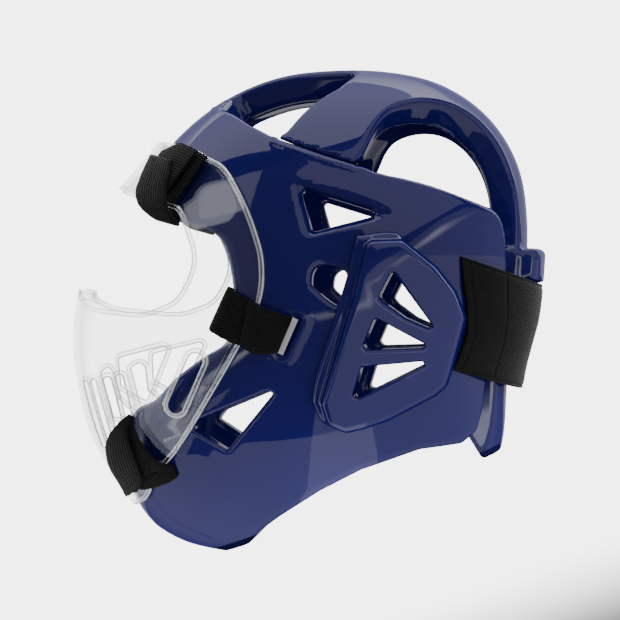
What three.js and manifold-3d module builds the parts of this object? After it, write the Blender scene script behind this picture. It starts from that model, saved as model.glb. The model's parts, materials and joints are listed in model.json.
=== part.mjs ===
// Padded taekwondo headgear: dipped-foam shell and crown, raised ear cups, a clear face shield and straps.
// Worn frame: face towards -Y, wearer's left +X, +Z up, origin at the middle of the head between the ears.
// The group at the end leans the whole thing back until it rests on its chin and its nape pad.
import * as THREE from "three";
import { mergeVertices } from "three/addons/utils/BufferGeometryUtils.js";
import Module from "manifold-3d";

const wasm = await Module();
wasm.setup();

// Head form, in millimetres
const HEAD_REACH = 120; // radius of the dome in side view, outside the padding
const HALF_WIDTH = 98; // half the width over the padding at ear height
const ROUNDNESS = 2.4; // exponent of the form's sections: 2 is an ellipse, more is squarer
const FOAM_WALL = 18;
const SEAM = 0.3; // gap left between pieces that touch

// Crown
const FRONT_BAND_HALF = 22; // half the width of the band from forehead to cross band
const REAR_BAND_HALF = 40; // half the width of the band from cross band to nape
const REAR_PANEL_HALF = 50; // half the way between the side panels' rear edges, which the rear strap closes
const NAPE_BLOCK_HALF = 39; // half the width of the block that the rear strap goes round
const NAPE_BLOCK_PROUD = 11; // how far that block stands out behind the band

// Ear cups
const CUP_SKIRT = 5; // height of the cup's foot over the shell
const CUP_HEIGHT = 12; // height of its raised face over the shell

// Face shield
const SHIELD_WALL = 3; // polycarbonate
const SHIELD_GAP = 0.6; // between the padding and the inside of the shield
const SHIELD_BULGE = 27; // how far the mouth stands further out than the shield's rim
const SLIT_WIDTH = 3.2; // the breathing slits before the mouth
const STRAP_SLOT_WIDTH = 9; // the round-ended slot on each cheek

// Straps
const STRAP_WALL = 2.6;
const STRAP_FOLD = 3.4; // a small strap folded back on itself
const STRAP_BAR = 4; // depth of a strap's bar in the padding
const STRAP_DRAW = 4.2; // how far the rear strap is drawn in, so that it lies on the side panels
const STRAP_SLACK = 1.5; // between it and the block that it goes round

// Resting pose
const LEAN_BACK = 20.5; // degrees from the worn pose
const REST_LAND = 1.2; // depth of the flat pressed into the foam where it stands

// Mesh fineness
const ROUND_STEPS = 44;
const SIDE_STEPS = 9;

// Side outline of the form: angle from straight back, upwards over the crown; reach as a share of HEAD_REACH.
const SIDE_OUTLINE = [
  { angle: 0, reach: 0.95 },
  { angle: 15, reach: 0.99 },
  { angle: 30, reach: 1.05 },
  { angle: 45, reach: 1.075 },
  { angle: 60, reach: 1.06 },
  { angle: 75, reach: 1.015 },
  { angle: 90, reach: 0.988 },
  { angle: 105, reach: 0.993 },
  { angle: 120, reach: 1.0 },
  { angle: 135, reach: 1.012 },
  { angle: 150, reach: 1.028 },
  { angle: 165, reach: 1.017 },
  { angle: 180, reach: 1.035 },
  { angle: 195, reach: 1.105 },
  { angle: 210, reach: 1.243 },
  { angle: 222, reach: 1.41 },
  { angle: 233, reach: 1.55 },
  { angle: 242, reach: 1.55 },
  { angle: 249, reach: 1.5 },
  { angle: 256, reach: 1.48 },
  { angle: 270, reach: 1.47 },
  { angle: 285, reach: 1.45 },
  { angle: 300, reach: 1.375 },
  { angle: 314, reach: 1.2 },
  { angle: 325, reach: 1.04 },
  { angle: 332, reach: 0.98 },
  { angle: 345, reach: 0.955 },
];

// Half width of the form by height: up is a share of HEAD_REACH, across of HALF_WIDTH.
const WIDTHS = [
  { up: -1.45, across: 0.67 },
  { up: -1.25, across: 0.755 },
  { up: -1.0, across: 0.84 },
  { up: -0.5, across: 0.96 },
  { up: 0, across: 1 },
  { up: 0.5, across: 0.99 },
  { up: 1.1, across: 0.96 },
];

// How far the shield stands out beyond its gap, by angle, as a share of SHIELD_BULGE.
const SHIELD_STANDOFF = [
  { angle: 120, out: 0 },
  { angle: 143, out: 0.13 },
  { angle: 151, out: 0.17 },
  { angle: 159, out: 0.4 },
  { angle: 170, out: 0.62 },
  { angle: 180, out: 0.8 },
  { angle: 189, out: 0.92 },
  { angle: 197, out: 0.95 },
  { angle: 205, out: 0.84 },
  { angle: 212, out: 0.72 },
  { angle: 220, out: 0.38 },
  { angle: 228, out: 0.02 },
  { angle: 240, out: 0 },
];

// Outlines in side view. Each row is one corner, [back, up] as shares of HEAD_REACH from the head's middle.
const FACE_OPENING = [
  [-1.3, 0.34], [-0.85, 0.26], [-0.64, 0.2], [-0.535, 0.17], [-0.475, 0.1], [-0.44, -0.02],
  [-0.425, -0.16], [-0.43, -0.28], [-0.46, -0.34], [-0.5, -0.38], [-0.58, -0.425], [-0.72, -0.525],
  [-0.83, -0.63], [-0.92, -0.67], [-0.98, -0.725], [-1.06, -0.79], [-1.3, -0.82],
];
const NECK_OPENING = [
  [0.72, -0.79], [0.64, -0.84], [0.44, -0.865], [0.16, -0.965], [-0.04, -1.07], [-0.24, -1.2],
  [-0.34, -1.275], [-0.42, -1.36], [-0.46, -1.42], [-0.46, -1.9], [1.4, -1.9], [1.4, -0.79],
];
const NAPE_CORNER = [[0.72, -0.79], [0.755, -0.7], [0.775, -0.55], [1.4, -0.55], [1.4, -0.79]];
const CROWN_SIDES = [
  [-0.235, 0.66], [-0.225, 0.61], [0, 0.53], [0.145, 0.485], [0.3, 0.5], [0.75, 0.45], [1.3, 0.3], [1.3, 1.3],
  [-0.1, 1.3], [-0.2, 0.8],
];
const CROWN_MIDDLE = [[-0.92, 1.3], [-0.42, 0.593], [0.2, 0.4], [0.2, 1.3]];
const UPPER_VENT = [[-0.11, 0.37], [-0.055, 0.165], [0.275, 0.25]];
const TEARDROP = [[-0.055, -0.06], [-0.04, -0.01], [0.01, 0.01], [0.11, -0.03], [0.08, -0.18], [-0.04, -0.1]];
const JAW_VENT = [[-0.64, -0.765], [-0.475, -0.87], [-0.235, -0.585], [-0.275, -0.585], [-0.61, -0.725]];
const CUP_RIM = [
  [0.21, 0.12], [0.37, 0.125], [0.525, 0], [0.615, -0.115], [0.66, -0.24], [0.595, -0.48], [0.57, -0.555],
  [0.52, -0.6], [0.3, -0.715], [0.185, -0.755], [0.1, -0.775], [0.02, -0.74], [-0.01, -0.635],
  [0.075, -0.375], [0.15, -0.135],
];
const CUP_FOOT = [
  [0.37, 0.145], [0.185, 0.15], [0.15, 0.125], [0.115, -0.035], [0.05, -0.24], [-0.015, -0.435],
  [-0.05, -0.56], [-0.05, -0.65], [0.025, -0.745], [0.3, -0.7], [0.5, -0.3], [0.4, -0.1],
];
const CUP_VENTS = [
  [[0.325, -0.015], [0.265, -0.135], [0.29, -0.165], [0.385, -0.235], [0.53, -0.3]],
  [[0.245, -0.235], [0.19, -0.365], [0.21, -0.385], [0.505, -0.375]],
  [[0.18, -0.465], [0.14, -0.6], [0.165, -0.61], [0.49, -0.45], [0.46, -0.44]],
];
const STRAP_SLOT = [[-0.14, -0.23], [-0.11, -0.245], [-0.19, -0.415], [-0.22, -0.4]];
const SHIELD_OUTLINE = [
  [-0.66, 0.58], [-0.56, 0.53], [-0.465, 0.47], [-0.37, 0.31], [-0.31, 0.165], [-0.275, 0.02],
  [-0.29, -0.16], [-0.4, -0.385], [-0.65, -0.785], [-0.775, -0.94], [-0.84, -0.97], [-0.985, -1.2],
  [-1.6, -1.2], [-1.6, 0.9], [-1.0, 0.68],
];
const EYE_OPENING = [
  [-1.6, 0.5], [-1.07, 0.4], [-1.0, 0.365], [-0.76, 0.29], [-0.7, 0.26], [-0.645, 0.135], [-0.625, 0.06],
  [-0.635, -0.025], [-0.7, -0.14], [-0.785, -0.185], [-0.875, -0.21], [-1.02, -0.2], [-1.165, -0.18],
  [-1.235, -0.14], [-1.27, -0.09], [-1.6, -0.09],
];
const CHEEK_VENT = [[-1.0, -0.43], [-0.74, -0.365], [-0.86, -0.635], [-0.99, -0.565]];
const MOUTH_VENT = [
  [-1.1, -0.5], [-1.06, -0.475], [-1.035, -0.5], [-1.02, -0.62], [-0.93, -0.7], [-1.04, -0.72],
];
const SHIELD_SLOT = { top: [-0.61, -0.44], foot: [-0.715, -0.655] };
const SLITS = [
  { top: [-1.2, -0.56], foot: [-1.12, -0.86] },
  { top: [-1.15, -0.55], foot: [-1.075, -0.84] },
];
const FOREHEAD_STRAP = [
  [-0.85, 0.56], [-0.71, 0.61], [-0.55, 0.53], [-0.64, 0.44], [-0.715, 0.3], [-0.69, 0.2], [-0.79, 0.225],
  [-0.92, 0.325], [-0.925, 0.365],
];
const CHIN_STRAP = [
  [-0.96, -0.7], [-1.09, -0.83], [-1.11, -0.9], [-1.05, -1.09], [-1.0, -1.125], [-0.875, -1.085],
  [-0.73, -1.01], [-0.775, -0.94], [-0.95, -0.79],
];
const SIDE_STRAP = [
  [-0.44, -0.09], [-0.335, -0.16], [-0.135, -0.235], [-0.21, -0.4], [-0.32, -0.42], [-0.39, -0.375],
  [-0.51, -0.325], [-0.54, -0.295],
];
const STRAP_BAR_OUTLINE = [[-0.134, -0.237], [-0.117, -0.246], [-0.196, -0.408], [-0.213, -0.4]];
const CHIN_CORNER = [-0.485, -1.39];
const NAPE_GAP = [[0.5, -2], [2, -2], [2, 2], [0.5, 2]];
const NAPE_STRIP = [[0.655, -0.79], [0.735, -0.92], [1.4, -0.92], [1.4, 0.6], [0.52, 0.6], [0.52, -0.6]];
const NAPE_BLOCK = [[0.88, 0.1], [1.3, 0.1], [1.3, -0.54], [0.85, -0.54]];
const REAR_STRAP = [[0.635, 0.055], [1.3, -0.165], [1.3, -0.7], [0.605, -0.485], [0.67, -0.24]];

// Top openings, one side. Each row is a corner on the outside of the form: across, back and up from the head's
// middle, across as a share of HALF_WIDTH and the others of HEAD_REACH. The cut runs towards that middle.
const FRONT_WINDOW = [
  [0.41, -0.53, 0.79], [0.69, -0.375, 0.7], [0.81, -0.24, 0.63], [0.79, -0.19, 0.665], [0.67, -0.08, 0.79],
  [0.55, 0.04, 0.875], [0.41, 0.1, 0.925], [FRONT_BAND_HALF / HALF_WIDTH, 0.13, 0.97],
  [FRONT_BAND_HALF / HALF_WIDTH, -0.48, 0.86],
];
const REAR_WINDOW = [
  [0.9, 0.15, 0.49], [0.86, 0.2, 0.58], [0.76, 0.26, 0.7], [0.67, 0.34, 0.78], [0.55, 0.48, 0.8],
  [0.46, 0.64, 0.78], [REAR_BAND_HALF / HALF_WIDTH, 0.78, 0.65], [REAR_BAND_HALF / HALF_WIDTH, 0.88, 0.42],
  [REAR_BAND_HALF / HALF_WIDTH, 0.93, 0.12], [0.5, 0.9, 0.12], [0.54, 0.87, 0.22], [0.61, 0.82, 0.28],
  [0.7, 0.745, 0.31], [0.79, 0.64, 0.35], [0.88, 0.41, 0.42], [0.91, 0.27, 0.455],
];

// A closed mesh as a solid that can be cut and joined.
function toSolid(geometry) {
  geometry.deleteAttribute("normal");
  geometry.deleteAttribute("uv");
  const merged = mergeVertices(geometry, 1e-4);
  return new wasm.Manifold(
    new wasm.Mesh({
      numProp: 3,
      vertProperties: merged.attributes.position.array,
      triVerts: new Uint32Array(merged.index.array),
    }),
  );
}

// The value of a table's column at a key, joined by smooth curves. The angle tables close on themselves.
function readTable(table, keyName, valueName, key, loopLength = 0) {
  const rows = table.map((row) => ({ key: row[keyName], value: row[valueName] }));
  const count = rows.length;
  const at = (i) => {
    if (!loopLength) return rows[Math.min(Math.max(i, 0), count - 1)];
    const turns = Math.floor(i / count);
    const row = rows[i - turns * count];
    return { key: row.key + turns * loopLength, value: row.value };
  };
  if (!loopLength && key <= rows[0].key) return rows[0].value;
  if (!loopLength && key >= rows[count - 1].key) return rows[count - 1].value;
  const first = rows[0].key;
  const wrapped = loopLength ? ((((key - first) % loopLength) + loopLength) % loopLength) + first : key;
  let i = 0;
  while (i < count - 1 && at(i + 1).key <= wrapped) i += 1;
  const [before, start, end, after] = [at(i - 1), at(i), at(i + 1), at(i + 2)];
  const span = end.key - start.key;
  const t = (wrapped - start.key) / span;
  const slopeStart = ((end.value - before.value) / (end.key - before.key || span)) * span;
  const slopeEnd = ((after.value - start.value) / (after.key - start.key || span)) * span;
  return (
    (2 * t ** 3 - 3 * t ** 2 + 1) * start.value +
    (t ** 3 - 2 * t ** 2 + t) * slopeStart +
    (3 * t ** 2 - 2 * t ** 3) * end.value +
    (t ** 3 - t ** 2) * slopeEnd
  );
}

const headReach = (angle) => HEAD_REACH * readTable(SIDE_OUTLINE, "angle", "reach", angle, 360);
const shieldReach = (angle) =>
  headReach(angle) + SHIELD_BULGE * readTable(SHIELD_STANDOFF, "angle", "out", angle);
const halfWidth = (up) => HALF_WIDTH * readTable(WIDTHS, "up", "across", up / HEAD_REACH);

// The closed form: in side view its rim is the reach at each angle, and its width swells from there like a
// superellipse. Further out by outReach in side view and by outWidth at the sides.
function formSolid(reach, outReach, outWidth) {
  const rings = 2 * SIDE_STEPS;
  const points = [];
  const pointOf = (ring, step) => {
    const lift = (Math.PI / 2) * (ring / SIDE_STEPS - 1);
    const share = Math.cos(lift) ** (2 / ROUNDNESS);
    const angle = (360 * step) / ROUND_STEPS;
    const radius = share * (reach(angle) + outReach);
    const back = radius * Math.cos(THREE.MathUtils.degToRad(angle));
    const up = radius * Math.sin(THREE.MathUtils.degToRad(angle));
    const across = Math.sign(lift) * Math.abs(Math.sin(lift)) ** (2 / ROUNDNESS);
    return [across * (halfWidth(up) + outWidth), back, up];
  };
  const poleOf = (side) => [side * (halfWidth(0) + outWidth), 0, 0];
  for (let ring = 0; ring < rings; ring += 1) {
    for (let step = 0; step < ROUND_STEPS; step += 1) {
      const next = (step + 1) % ROUND_STEPS;
      const a = ring === 0 ? poleOf(-1) : pointOf(ring, step);
      const b = ring === 0 ? poleOf(-1) : pointOf(ring, next);
      const c = ring === rings - 1 ? poleOf(1) : pointOf(ring + 1, next);
      const d = ring === rings - 1 ? poleOf(1) : pointOf(ring + 1, step);
      if (ring > 0) points.push(...a, ...b, ...c);
      if (ring === 0) points.push(...a, ...c, ...d);
      else if (ring < rings - 1) points.push(...a, ...c, ...d);
    }
  }
  const geometry = new THREE.BufferGeometry();
  geometry.setAttribute("position", new THREE.Float32BufferAttribute(points, 3));
  return toSolid(geometry);
}

// A side outline, in shares of HEAD_REACH, carried straight across from one x to another.
function acrossSolid(outline, fromX, toX) {
  const shape = new THREE.Shape(
    outline.map(([back, up]) => new THREE.Vector2(back * HEAD_REACH, up * HEAD_REACH)),
  );
  const geometry = new THREE.ExtrudeGeometry(shape, { depth: toX - fromX, bevelEnabled: false });
  geometry.applyMatrix4(new THREE.Matrix4().makeBasis(
    new THREE.Vector3(0, 1, 0),
    new THREE.Vector3(0, 0, 1),
    new THREE.Vector3(1, 0, 0),
  ));
  geometry.translate(fromX, 0, 0);
  return toSolid(geometry);
}

// An outline on the outside of the form, joined to a smaller copy near the middle of the head.
function inwardSolid(outline, side) {
  const outer = 1.35;
  const inner = 0.55;
  const corners = outline.map(([across, back, up]) =>
    new THREE.Vector3(side * across * HALF_WIDTH, back * HEAD_REACH, up * HEAD_REACH),
  );
  const middle = corners.reduce((sum, c) => sum.add(c), new THREE.Vector3()).divideScalar(corners.length);
  const points = [];
  const push = (...list) => list.forEach((p) => points.push(p.x, p.y, p.z));
  corners.forEach((corner, i) => {
    const next = corners[(i + 1) % corners.length];
    const [a, b] = [corner.clone().multiplyScalar(outer), next.clone().multiplyScalar(outer)];
    const [c, d] = [corner.clone().multiplyScalar(inner), next.clone().multiplyScalar(inner)];
    const top = middle.clone().multiplyScalar(outer);
    const foot = middle.clone().multiplyScalar(inner);
    push(a, b, top, a, c, b, b, c, d, d, c, foot);
  });
  const geometry = new THREE.BufferGeometry();
  geometry.setAttribute("position", new THREE.Float32BufferAttribute(points, 3));
  const solid = toSolid(geometry);
  return solid.volume() > 0 ? solid : toSolid(flipped(geometry));
}

// The same triangles wound the other way.
function flipped(geometry) {
  const p = geometry.attributes.position.array.slice();
  for (let i = 0; i < p.length; i += 9) {
    for (let k = 0; k < 3; k += 1) [p[i + 3 + k], p[i + 6 + k]] = [p[i + 6 + k], p[i + 3 + k]];
  }
  const turned = new THREE.BufferGeometry();
  turned.setAttribute("position", new THREE.Float32BufferAttribute(p, 3));
  return turned;
}

// An upright slot with round ends between two points of the side view, in shares of HEAD_REACH.
function slotOutline({ top, foot }, width) {
  const radius = width / HEAD_REACH / 2;
  const lean = Math.atan2(top[1] - foot[1], top[0] - foot[0]);
  const arc = (centre, start) =>
    [0, 1, 2, 3, 4].map((k) => {
      const turn = start + (k * Math.PI) / 4;
      return [centre[0] + radius * Math.cos(turn), centre[1] + radius * Math.sin(turn)];
    });
  return [...arc(top, lean - Math.PI / 2), ...arc(foot, lean + Math.PI / 2)];
}

const WIDE = HALF_WIDTH * 1.5; // past everything at the sides
const both = (make) => make(1).add(make(-1));
const acrossAll = (outline) => acrossSolid(outline, -WIDE, WIDE);
const NEAR = HALF_WIDTH * 0.2; // where the pieces of one side may begin
const acrossSide = (outline, side) =>
  side > 0 ? acrossSolid(outline, NEAR, WIDE) : acrossSolid(outline, -WIDE, -NEAR);

// A layer that lies on a form between two distances out from it, inside a side outline, on one side.
function layerSolid(reach, gap, wall, outline, side) {
  return formSolid(reach, gap + wall, gap + wall)
    .subtract(formSolid(reach, gap, gap))
    .intersect(acrossSide(outline, side));
}

const foamWall = formSolid(headReach, 0, 0).subtract(formSolid(headReach, -FOAM_WALL, -FOAM_WALL));
const windows = both((side) => inwardSolid(FRONT_WINDOW, side).add(inwardSolid(REAR_WINDOW, side)));
const strapGap = SHIELD_GAP + SHIELD_WALL + SEAM;

// Everything under the plane that the leaning headgear stands on, a little above the chin's rear corner.
function groundSolid() {
  const lean = THREE.MathUtils.degToRad(LEAN_BACK);
  const [back, up] = CHIN_CORNER.map((share) => share * HEAD_REACH);
  const level = up * Math.cos(lean) - back * Math.sin(lean) + REST_LAND;
  const size = 6 * HEAD_REACH;
  const geometry = new THREE.BoxGeometry(size, size, size);
  geometry.translate(0, 0, level - size / 2);
  geometry.rotateX(lean);
  return toSolid(geometry);
}

const ground = groundSolid();
const middleHalf = FRONT_BAND_HALF + FOAM_WALL / 6; // inside the front windows at every depth of the wall
const crownMiddle = (outline) => acrossSolid(outline, -middleHalf, middleHalf);
const cut = (solid, outlines, make = acrossAll) =>
  outlines.reduce((left, outline) => left.subtract(make(outline)), solid);

function shellSolid() {
  const wall = foamWall.subtract(windows).subtract(ground);
  const open = cut(wall, [CROWN_SIDES, FACE_OPENING, NECK_OPENING, NAPE_CORNER]).subtract(
    crownMiddle(CROWN_MIDDLE),
  );
  return cut(open, [UPPER_VENT, TEARDROP, JAW_VENT, STRAP_SLOT, ...CUP_VENTS]).subtract(
    acrossSolid(NAPE_GAP, -REAR_PANEL_HALF, REAR_PANEL_HALF),
  );
}

// The cross band, the band from forehead to nape and the nape pad, which are moulded together.
function crownSolid() {
  const half = REAR_BAND_HALF;
  const raised = (outline) => outline.map(([back, up]) => [back, up + (SEAM * 1.3) / HEAD_REACH]);
  const region = acrossAll(raised(CROWN_SIDES)).add(crownMiddle(raised(CROWN_MIDDLE)));
  const strip = acrossSolid(NAPE_STRIP, -half, half);
  const block = formSolid(headReach, NAPE_BLOCK_PROUD, 0)
    .subtract(formSolid(headReach, -FOAM_WALL / 2, 0))
    .intersect(acrossSolid(NAPE_BLOCK, -NAPE_BLOCK_HALF, NAPE_BLOCK_HALF));
  return foamWall.intersect(region.add(strip)).subtract(windows).add(block).subtract(ground);
}

function cupSolid(side) {
  const outward = (outline) => acrossSide(outline, side);
  const skirt = formSolid(headReach, CUP_SKIRT, CUP_SKIRT).intersect(outward(CUP_FOOT).add(outward(CUP_RIM)));
  const raised = formSolid(headReach, CUP_HEIGHT, CUP_HEIGHT).intersect(outward(CUP_RIM));
  const cup = skirt.add(raised).subtract(formSolid(headReach, SEAM, SEAM));
  return cut(cup, CUP_VENTS, outward);
}

function shieldSolid() {
  const outer = SHIELD_GAP + SHIELD_WALL;
  const sheet = formSolid(shieldReach, outer, outer)
    .subtract(formSolid(shieldReach, SHIELD_GAP, SHIELD_GAP))
    .intersect(acrossAll(SHIELD_OUTLINE));
  const holes = [EYE_OPENING, CHEEK_VENT, MOUTH_VENT, slotOutline(SHIELD_SLOT, STRAP_SLOT_WIDTH)];
  return cut(sheet, [...holes, ...SLITS.map((slit) => slotOutline(slit, SLIT_WIDTH))]);
}

// The wide strap that closes the headgear behind, from one side panel round the nape pad to the other.
function rearStrapSolid() {
  const behind = NAPE_BLOCK_PROUD + STRAP_SLACK;
  return formSolid(headReach, behind + STRAP_WALL, STRAP_WALL - STRAP_DRAW)
    .subtract(formSolid(headReach, behind, -STRAP_DRAW))
    .subtract(formSolid(headReach, SEAM, SEAM))
    .intersect(acrossAll(REAR_STRAP));
}

const foldedStrap = (outline, side) => layerSolid(shieldReach, strapGap, STRAP_FOLD, outline, side);

// The bar that a side strap loops round: it stands in its slot and meets the strap's underside.
function barSolid(side) {
  return formSolid(shieldReach, strapGap - SEAM, strapGap - SEAM)
    .subtract(formSolid(headReach, -STRAP_BAR, -STRAP_BAR))
    .intersect(acrossSide(STRAP_BAR_OUTLINE, side));
}

const foam = { color: 0x171d5c, roughness: 0.22, metalness: 0 };
const clear = { color: 0xf2f5f8, roughness: 0.05, metalness: 0, transparent: true, opacity: 0.3 };
const webbing = { color: 0x161617, roughness: 0.9, metalness: 0 };
const grey = { color: 0x9a9a9c, roughness: 0.5, metalness: 0 };

const pieces = [
  ["shell", shellSolid, foam],
  ["crown", crownSolid, foam],
  ["face_shield", shieldSolid, clear],
  ["rear_strap", rearStrapSolid, webbing],
];
for (const [suffix, side] of [["left", 1], ["right", -1]]) {
  pieces.push(["ear_cup_" + suffix, () => cupSolid(side), foam]);
  pieces.push(["forehead_strap_" + suffix, () => foldedStrap(FOREHEAD_STRAP, side), webbing]);
  pieces.push(["chin_strap_" + suffix, () => foldedStrap(CHIN_STRAP, side), webbing]);
  pieces.push(["side_strap_" + suffix, () => foldedStrap(SIDE_STRAP, side), webbing]);
  pieces.push(["strap_bar_" + suffix, () => barSolid(side), grey]);
}

// A solid as a mesh of its own.
function meshOf(name, solid, finish) {
  const { numProp, vertProperties, triVerts } = solid.getMesh();
  const geometry = new THREE.BufferGeometry();
  const positions = new Float32Array((vertProperties.length / numProp) * 3);
  for (let i = 0; i < positions.length / 3; i += 1) {
    positions.set(vertProperties.subarray(i * numProp, i * numProp + 3), i * 3);
  }
  geometry.setAttribute("position", new THREE.BufferAttribute(positions, 3));
  geometry.setIndex(new THREE.BufferAttribute(triVerts, 1));
  geometry.computeVertexNormals();
  const mesh = new THREE.Mesh(geometry, new THREE.MeshStandardMaterial(finish));
  mesh.name = name;
  return mesh;
}

const worn = new THREE.Group();
for (const [name, make, finish] of pieces) worn.add(meshOf(name, make(), finish));
worn.rotation.x = -THREE.MathUtils.degToRad(LEAN_BACK);

const headgear = new THREE.Group();
headgear.add(worn);
headgear.updateMatrixWorld(true);
const box = new THREE.Box3().setFromObject(headgear, true);
worn.position.set(0, -(box.min.y + box.max.y) / 2, -box.min.z);

export default headgear;
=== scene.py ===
"""Looks of the padded taekwondo headgear: dipped foam, clear face shield and woven straps.

All shapes are worked out in the worn frame, in millimetres: face towards -Y, wearer's left +X, +Z up, origin
in the middle of the head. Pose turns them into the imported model's frame, in metres, where it leans back.
"""

import json
import logging
import math
from dataclasses import dataclass, field
from enum import Enum
from typing import Callable, Sequence

import bpy
import numpy as np
from mathutils import Matrix, Vector

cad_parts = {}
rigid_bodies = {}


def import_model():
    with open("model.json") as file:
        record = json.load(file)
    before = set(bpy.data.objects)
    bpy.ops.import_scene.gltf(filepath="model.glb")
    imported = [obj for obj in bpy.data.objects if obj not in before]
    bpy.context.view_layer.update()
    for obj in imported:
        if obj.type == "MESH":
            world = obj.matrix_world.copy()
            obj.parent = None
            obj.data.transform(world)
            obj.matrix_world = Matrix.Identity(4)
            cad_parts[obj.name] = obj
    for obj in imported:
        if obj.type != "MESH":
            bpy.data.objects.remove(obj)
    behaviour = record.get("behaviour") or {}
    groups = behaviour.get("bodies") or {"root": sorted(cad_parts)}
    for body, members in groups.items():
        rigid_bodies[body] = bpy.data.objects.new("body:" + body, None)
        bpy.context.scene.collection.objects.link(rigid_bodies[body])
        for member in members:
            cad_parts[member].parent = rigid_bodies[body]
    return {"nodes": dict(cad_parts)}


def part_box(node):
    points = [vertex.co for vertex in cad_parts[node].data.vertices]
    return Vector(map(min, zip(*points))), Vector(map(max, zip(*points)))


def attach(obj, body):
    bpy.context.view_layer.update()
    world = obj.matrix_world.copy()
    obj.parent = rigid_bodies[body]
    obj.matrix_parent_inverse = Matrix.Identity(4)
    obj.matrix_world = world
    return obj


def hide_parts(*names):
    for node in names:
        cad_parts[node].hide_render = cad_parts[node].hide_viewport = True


LOG = logging.getLogger("headgear")
Points = np.ndarray
Corners = Sequence[tuple[float, float]]
Field = Callable[[Points], Points]
Surface = Callable[[Points, Points], Points]
Line = tuple[tuple[float, float], tuple[float, float]]
Colour = tuple[float, float, float, float]

HEAD_REACH = 120.0
HALF_WIDTH = 98.0
ROUNDNESS = 2.4
FOAM_WALL = 18.0
SEAM = 0.3
ALL_TURNS = 180.0
FRONT_BAND_HALF = 22.0
REAR_BAND_HALF = 40.0
REAR_PANEL_HALF = 50.0
NAPE_BLOCK_HALF = 39.0
NAPE_BLOCK_PROUD = 11.0
CUP_SKIRT = 5.0
CUP_HEIGHT = 12.0
SHIELD_WALL = 3.0
SHIELD_GAP = 0.6
SHIELD_BULGE = 27.0
SLIT_WIDTH = 3.2
STRAP_SLOT_WIDTH = 9.0
STRAP_WALL = 2.6
STRAP_DRAW = 4.2
STRAP_SLACK = 1.5
LEAN_BACK = 20.5
REST_LAND = 1.2
PAPER_BRIGHT = 4.9
PAPER_DOWN = 0.1
PAPER_SIDES = 64
AIR_TINT = (0.9, 0.92, 1.0, 1.0)
AIR_BRIGHT = 0.12
LIT_HEIGHT = 0.13
SENSOR_WIDTH = 36.0

SIDE_OUTLINE = (
    (0, 0.95), (15, 0.99), (30, 1.05), (45, 1.075), (60, 1.06), (75, 1.015), (90, 0.988), (105, 0.993),
    (120, 1.0), (135, 1.012), (150, 1.028), (165, 1.017), (180, 1.035), (195, 1.105), (210, 1.243),
    (222, 1.41), (233, 1.55), (242, 1.55), (249, 1.5), (256, 1.48), (270, 1.47), (285, 1.45), (300, 1.375),
    (314, 1.2), (325, 1.04), (332, 0.98), (345, 0.955),
)
WIDTHS = ((-1.45, 0.67), (-1.25, 0.755), (-1.0, 0.84), (-0.5, 0.96), (0, 1), (0.5, 0.99), (1.1, 0.96))
SHIELD_STANDOFF = (
    (120, 0), (143, 0.13), (151, 0.17), (159, 0.4), (170, 0.62), (180, 0.8), (189, 0.92), (197, 0.95),
    (205, 0.84), (212, 0.72), (220, 0.38), (228, 0.02), (240, 0),
)
FACE_OPENING = (
    (-1.3, 0.34), (-0.85, 0.26), (-0.64, 0.2), (-0.535, 0.17), (-0.475, 0.1), (-0.44, -0.02),
    (-0.425, -0.16), (-0.43, -0.28), (-0.46, -0.34), (-0.5, -0.38), (-0.58, -0.425), (-0.72, -0.525),
    (-0.83, -0.63), (-0.92, -0.67), (-0.98, -0.725), (-1.06, -0.79), (-1.3, -0.82),
)
NECK_OPENING = (
    (0.72, -0.79), (0.64, -0.84), (0.44, -0.865), (0.16, -0.965), (-0.04, -1.07), (-0.24, -1.2),
    (-0.34, -1.275), (-0.42, -1.36), (-0.46, -1.42), (-0.46, -1.9), (1.4, -1.9), (1.4, -0.79),
)
NAPE_CORNER = ((0.72, -0.79), (0.755, -0.7), (0.775, -0.55), (1.4, -0.55), (1.4, -0.79))
CROWN_SIDES = (
    (-0.235, 0.66), (-0.225, 0.61), (0, 0.53), (0.145, 0.485), (0.3, 0.5), (0.75, 0.45), (1.3, 0.3),
    (1.3, 1.3), (-0.1, 1.3), (-0.2, 0.8),
)
CROWN_MIDDLE = ((-0.92, 1.3), (-0.42, 0.593), (0.2, 0.4), (0.2, 1.3))
UPPER_VENT = ((-0.11, 0.37), (-0.055, 0.165), (0.275, 0.25))
TEARDROP = ((-0.055, -0.06), (-0.04, -0.01), (0.01, 0.01), (0.11, -0.03), (0.08, -0.18), (-0.04, -0.1))
JAW_VENT = ((-0.64, -0.765), (-0.475, -0.87), (-0.235, -0.585), (-0.275, -0.585), (-0.61, -0.725))
CUP_RIM = (
    (0.21, 0.12), (0.37, 0.125), (0.525, 0), (0.615, -0.115), (0.66, -0.24), (0.595, -0.48), (0.57, -0.555),
    (0.52, -0.6), (0.3, -0.715), (0.185, -0.755), (0.1, -0.775), (0.02, -0.74), (-0.01, -0.635),
    (0.075, -0.375), (0.15, -0.135),
)
CUP_FOOT = (
    (0.37, 0.145), (0.185, 0.15), (0.15, 0.125), (0.115, -0.035), (0.05, -0.24), (-0.015, -0.435),
    (-0.05, -0.56), (-0.05, -0.65), (0.025, -0.745), (0.3, -0.7), (0.5, -0.3), (0.4, -0.1),
)
CUP_VENTS = (
    ((0.325, -0.015), (0.265, -0.135), (0.29, -0.165), (0.385, -0.235), (0.53, -0.3)),
    ((0.245, -0.235), (0.19, -0.365), (0.21, -0.385), (0.505, -0.375)),
    ((0.18, -0.465), (0.14, -0.6), (0.165, -0.61), (0.49, -0.45), (0.46, -0.44)),
)
STRAP_SLOT = ((-0.14, -0.23), (-0.11, -0.245), (-0.19, -0.415), (-0.22, -0.4))
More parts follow.
